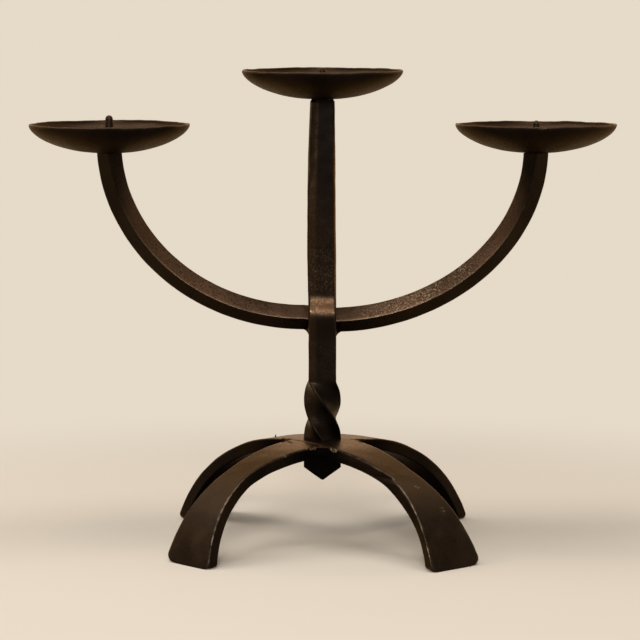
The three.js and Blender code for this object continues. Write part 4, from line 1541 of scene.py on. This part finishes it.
@dataclass
class Light:
    """A dished pan on its seat with its spike."""

    tree: NodeTree
    place: Place
    spike_height: float
    spike_tip_radius: float
    seed: float
    tilt: float = 0.0
    wave: float = 1.4 * MM
    wave_count: float = 3.4
    radius: float = 53.8 * MM
    depth: float = 18.4 * MM
    flat_radius: float = 8.6 * MM
    wall: float = 2.2 * MM
    curve_power: float = 1.7
    bore: float = 3.3 * MM
    floor_step: float = 1.2 * MM
    dish_steps: int = 44
    rim_steps: int = 8
    rim_roundness: float = 0.75
    rim_edge_in: float = 1.6
    rim_edge_down: float = 2.6
    steps_round: int = 220
    mark_depth: float = 0.22 * MM
    mark_size: float = 12 * MM
    # Painted shade below by the distance from the middle, and a painted highlight on the inside
    soot_out: Profile = Profile((10, 45), (0.45, 0.25))
    soot_aside: Profile = Profile((6, 30), (0.3, 0))
    below_facing: Range = (0, 0.3)
    inside_facing: Range = (0.1, 0.4)
    inside_thin: float = 0.12
    # The spike, with the part of its shank that goes through the pan
    spike_radius: float = 3.1 * MM
    spike_foot_share: float = 1.12
    spike_taper_power: float = 0.85
    spike_seam: float = 0.3 * MM
    spike_steps: int = 16
    tip_steps: int = 6
    tip_edge: Range = (-2 * MM, 1 * MM)
    shank_length: float = 3 * MM
    spike_steps_round: int = 40
    spike_mark_size: float = 3.5 * MM

    @property
    def seat(self) -> Vector:
        """The middle of the pan's underside, from the frame."""
        low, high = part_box(f"pan_{self.place}")
        return Vector(((low.x + high.x) / 2, (low.y + high.y) / 2, low.z))

    def dish(self, radius: float, depth: float) -> list[Vector]:
        """Works out the curve from the edge of the flat bottom out and up to the rim.

        Args:
            radius: The rim's radius.
            depth: How far the flat bottom lies below the rim.

        Returns:
            Its points as radius and height above the pan's underside.
        """
        power = 2 / self.curve_power
        return [Vector((mix(self.flat_radius, radius, math.sin(angle) ** power),
                        self.depth - depth * abs(math.cos(angle)) ** power, 0))
                for angle in quarter_turn(self.dish_steps)]

    def section(self) -> tuple[list[Vector], list[float]]:
        """Works out the wall's section with its rounded rim.

        Returns:
            The section's points, and how much of an edge each one is.
        """
        half = self.wall / 2
        floor = steps(self.bore, self.flat_radius, self.floor_step)[:-1]
        outside = self.dish(self.radius, self.depth)
        inside = self.dish(self.radius - self.wall, self.depth - self.wall)[::-1]
        rim = [Vector((self.radius - half + half * math.cos(2 * angle),
                       self.depth + half * self.rim_roundness * math.sin(2 * angle), 0))
               for angle in quarter_turn(self.rim_steps)[1:-1]]
        points = [*(Vector((r, 0, 0)) for r in floor), *outside, *rim, *inside,
                  *(Vector((r, self.wall, 0)) for r in floor[::-1])]
        edges = [smoothstep(point.x, self.radius - self.rim_edge_in * half, self.radius - half)
                 * smoothstep(point.y, self.depth - self.rim_edge_down * half, self.depth)
                 for point in points]
        return points, edges

    def pan(self) -> Object:
        """Makes the pan, with painted shade below and a painted highlight inside.

        Returns:
            The finished piece.
        """
        points, edges = self.section()
        marks = Hammering(self.mark_depth, self.mark_size, self.seed)
        line = line_mesh("pan_section", points, True, edge=edges)
        pan = forged(line, f"pan_{self.place}_dished", self.tree, marks, DISHED_SHEET, {
            "Steps": self.steps_round, "Center": self.seat, "Rim Radius": self.radius,
            "Wave": self.wave, "Wave Count": self.wave_count, "Tilt": self.tilt})
        skin = Skin(pan)
        x, y = (skin.points - np.array(self.seat - STEM_AXIS) / MM)[:, :2].T
        up = skin.normals[:, 2]
        below, inside = ramp(-up, *self.below_facing), ramp(up, *self.inside_facing)
        # Painted shade on the faces below, darkest in the middle, and a painted highlight on the inside faces
        # that look up
        soot = below * (self.soot_out.at(np.hypot(x, y)) + self.soot_aside.at(np.abs(x)))
        skin.age(thin=[self.inside_thin * inside], soot=[soot], marks_clear_shade=False)
        return kept(pan, Slot.PAN, f"pan_{self.place}")

    def spike(self) -> Object:
        """Makes the spike with the part of its shank that goes through the pan.

        Returns:
            The finished piece.
        """
        tip = self.wall + self.spike_seam + self.spike_height
        round_start, tip_radius = tip - self.spike_tip_radius, self.spike_tip_radius
        foot_radius = self.spike_radius * self.spike_foot_share
        points = [Vector((0, -self.shank_length, 0)), Vector((self.spike_radius, -self.shank_length, 0))]
        points += [Vector((mix(foot_radius, tip_radius, share ** self.spike_taper_power),
                           mix(self.wall, round_start, share), 0))
                   for share in steps(0, 1, 1 / self.spike_steps)]
        points += [Vector((tip_radius * math.cos(angle), round_start + tip_radius * math.sin(angle), 0))
                   for angle in quarter_turn(self.tip_steps)[1:]]
        edges = [smoothstep(point.y, round_start + self.tip_edge[0], tip + self.tip_edge[1])
                 for point in points]
        marks = Hammering(self.mark_depth, self.spike_mark_size, self.seed)
        line = line_mesh("spike_section", points, True, edge=edges)
        spike = forged(line, f"pricket_{self.place}_spike", self.tree, marks, RUBBED_SPIKE, {
            "Steps": self.spike_steps_round, "Center": self.seat, "Rim Radius": self.radius,
            "Wave": 0.0, "Wave Count": 1.0, "Tilt": 0.0})
        return kept(spike, Slot.PRICKET, f"pricket_{self.place}")


# Studio


@dataclass(frozen=True)
class Lamp:
    """A soft rectangular lamp: where it stands, what it looks at, its size, power and colour."""

    name: str
    place: tuple[float, float, float]
    size: tuple[float, float]
    power: float
    color: str = "#ffffff"
    target: tuple[float, float, float] = (0.0, 0.0, 0.16)

    def make(self) -> None:
        """Adds the lamp to the scene."""
        lamp = bpy.data.lights.new(self.name, "AREA")
        lamp.shape = "RECTANGLE"
        lamp.size, lamp.size_y = self.size
        lamp.energy = self.power
        lamp.color = linear(self.color)[:3]
        thing = linked(self.name, lamp)
        thing.location = self.place
        thing.rotation_euler = (Vector(self.target) - Vector(self.place)).to_track_quat("-Z", "Y").to_euler()


@dataclass(frozen=True)
class Studio:
    """Camera at the photograph's viewpoint, pale floor and backdrop, and soft lamps."""

    camera_offset: tuple[float, float, float] = (-1.6 * MM, -1960.4 * MM, 385.8 * MM)
    camera_pitch: float = 6.85
    focal_length: float = 164.81
    sensor_width: float = 36.0
    clip: tuple[float, float] = (0.05, 100)
    backdrop: str = "#e6dac8"
    floor_color: str = "#dacdbb"
    ambient: float = 0.12
    floor_side: float = 30.0
    fade_start: float = 0.2
    fade_end: float = 0.6
    lamps: tuple[Lamp, ...] = (
        Lamp("softbox_above", (0.05, -0.2, 1.75), (1.2, 0.8), 14),
        Lamp("softbox_left", (-1.1, 0.0, 1.6), (0.9, 1.0), 13),
        Lamp("softbox_front", (-0.05, -2.3, 1.1), (0.6, 0.5), 34),
        Lamp("strip_back", (0, 2.2, 0.75), (1.8, 0.35), 1.5, "#ffe8d0"),
        Lamp("strip_right", (1.5, 0.5, 0.5), (0.25, 0.8), 3, "#ffe8d0"),
        Lamp("strip_left", (-1.5, 0.4, 0.5), (0.25, 0.8), 2.5, "#ffe8d0"),
    )

    def camera(self) -> None:
        """Adds the camera."""
        camera = bpy.data.cameras.new("camera")
        camera.lens = self.focal_length
        camera.sensor_width = self.sensor_width
        camera.clip_start, camera.clip_end = self.clip
        thing = linked("camera", camera)
        thing.location = STEM_AXIS + Vector(self.camera_offset)
        thing.rotation_euler = (math.radians(90 - self.camera_pitch), 0, 0)
        bpy.context.scene.camera = thing

    @staticmethod
    def background_rays(tree: NodeTree) -> Node:
        """Tells the rays that see the backdrop from those that only light the scene.

        Args:
            tree: The tree that gets the nodes.

        Returns:
            A node that is 1 for camera, glossy and transmission rays and 0 for the rest.
        """
        rays = add(tree, "ShaderNodeLightPath").outputs
        seen = add(tree, "ShaderNodeMath", rays["Is Camera Ray"], rays["Is Glossy Ray"], operation="MAXIMUM")
        return add(tree, "ShaderNodeMath", seen, rays["Is Transmission Ray"], operation="MAXIMUM")

    def world(self) -> None:
        """Sets a pale backdrop and an even ambient light."""
        world = bpy.data.worlds.new("studio")
        bpy.context.scene.world = world
        tree = fresh_tree(world)
        ambient = add(tree, "ShaderNodeBackground", linear("#ffffff"), self.ambient)
        pale = add(tree, "ShaderNodeBackground", linear(self.backdrop), 1.0)
        shown = add(tree, "ShaderNodeMixShader", self.background_rays(tree), ambient, pale)
        add(tree, "ShaderNodeOutputWorld", shown)

    def floor(self) -> None:
        """Adds a matt pale floor that takes the shadow and fades into the backdrop."""
        mesh = bpy.data.meshes.new("floor")
        reach = self.floor_side / 2
        corners = [(-reach, -reach, 0), (reach, -reach, 0), (reach, reach, 0), (-reach, reach, 0)]
        mesh.from_pydata(corners, [], [(0, 1, 2, 3)])
        material = bpy.data.materials.new("matt_pale_floor")
        tree = fresh_tree(material)
        where = add(tree, "ShaderNodeTexCoord").outputs["Object"]
        distance = add(tree, "ShaderNodeVectorMath", where, operation="LENGTH").outputs["Value"]
        far = add(tree, "ShaderNodeMapRange", distance, self.fade_start, self.fade_end,
                  interpolation_type="SMOOTHSTEP")
        shown = add(tree, "ShaderNodeMath", far, self.background_rays(tree), operation="MULTIPLY")
        matt = add(tree, "ShaderNodeBsdfPrincipled", at={
            "Base Color": linear(self.floor_color), "Roughness": 0.9, "Specular IOR Level": 0.2})
        pale = add(tree, "ShaderNodeEmission", linear(self.backdrop), 1.0)
        add(tree, "ShaderNodeOutputMaterial", add(tree, "ShaderNodeMixShader", shown, matt, pale))
        mesh.materials.append(material)
        linked("floor", mesh)

    def make(self) -> None:
        """Adds everything."""
        self.camera()
        self.world()
        self.floor()
        for lamp in self.lamps:
            lamp.make()
        bpy.context.scene.view_settings.view_transform = "Standard"


def main() -> None:
    """Builds the studio and the candelabra piece by piece."""
    logging.basicConfig(level=logging.INFO, format="%(message)s")
    Studio().make()
    bar_tree, round_tree = forged_bar_tree(), forged_round_tree()
    arm_bar = ArmBar(bar_tree, Section(9, 5), Hammering(0.22 * MM, 12 * MM, 5.0), ARM_IRON)
    arm_bar.make()
    stem = Stem(bar_tree, Section(12, 5), Hammering(0.26 * MM, 9 * MM, 2.0), STEM_BAR)
    stem.make(arm_bar)
    Feet(bar_tree).make()
    for weld in (ArmWeld(arm_bar.left, 5.4 * MM, 3.4 * MM), ArmWeld(arm_bar.right, 4.8 * MM, 3 * MM)):
        weld.make(stem, arm_bar)
    lights = [
        Light(round_tree, Place.LEFT, 22.5 * MM, 2.6 * MM, 11.0, tilt=-0.004),
        Light(round_tree, Place.CENTER, 18.2 * MM, 2.2 * MM, 23.0),
        Light(round_tree, Place.RIGHT, 19 * MM, 2.1 * MM, 37.0, tilt=-0.014),
    ]
    for light in lights:
        light.pan()
        light.spike()


if __name__ == "__main__":
    main()
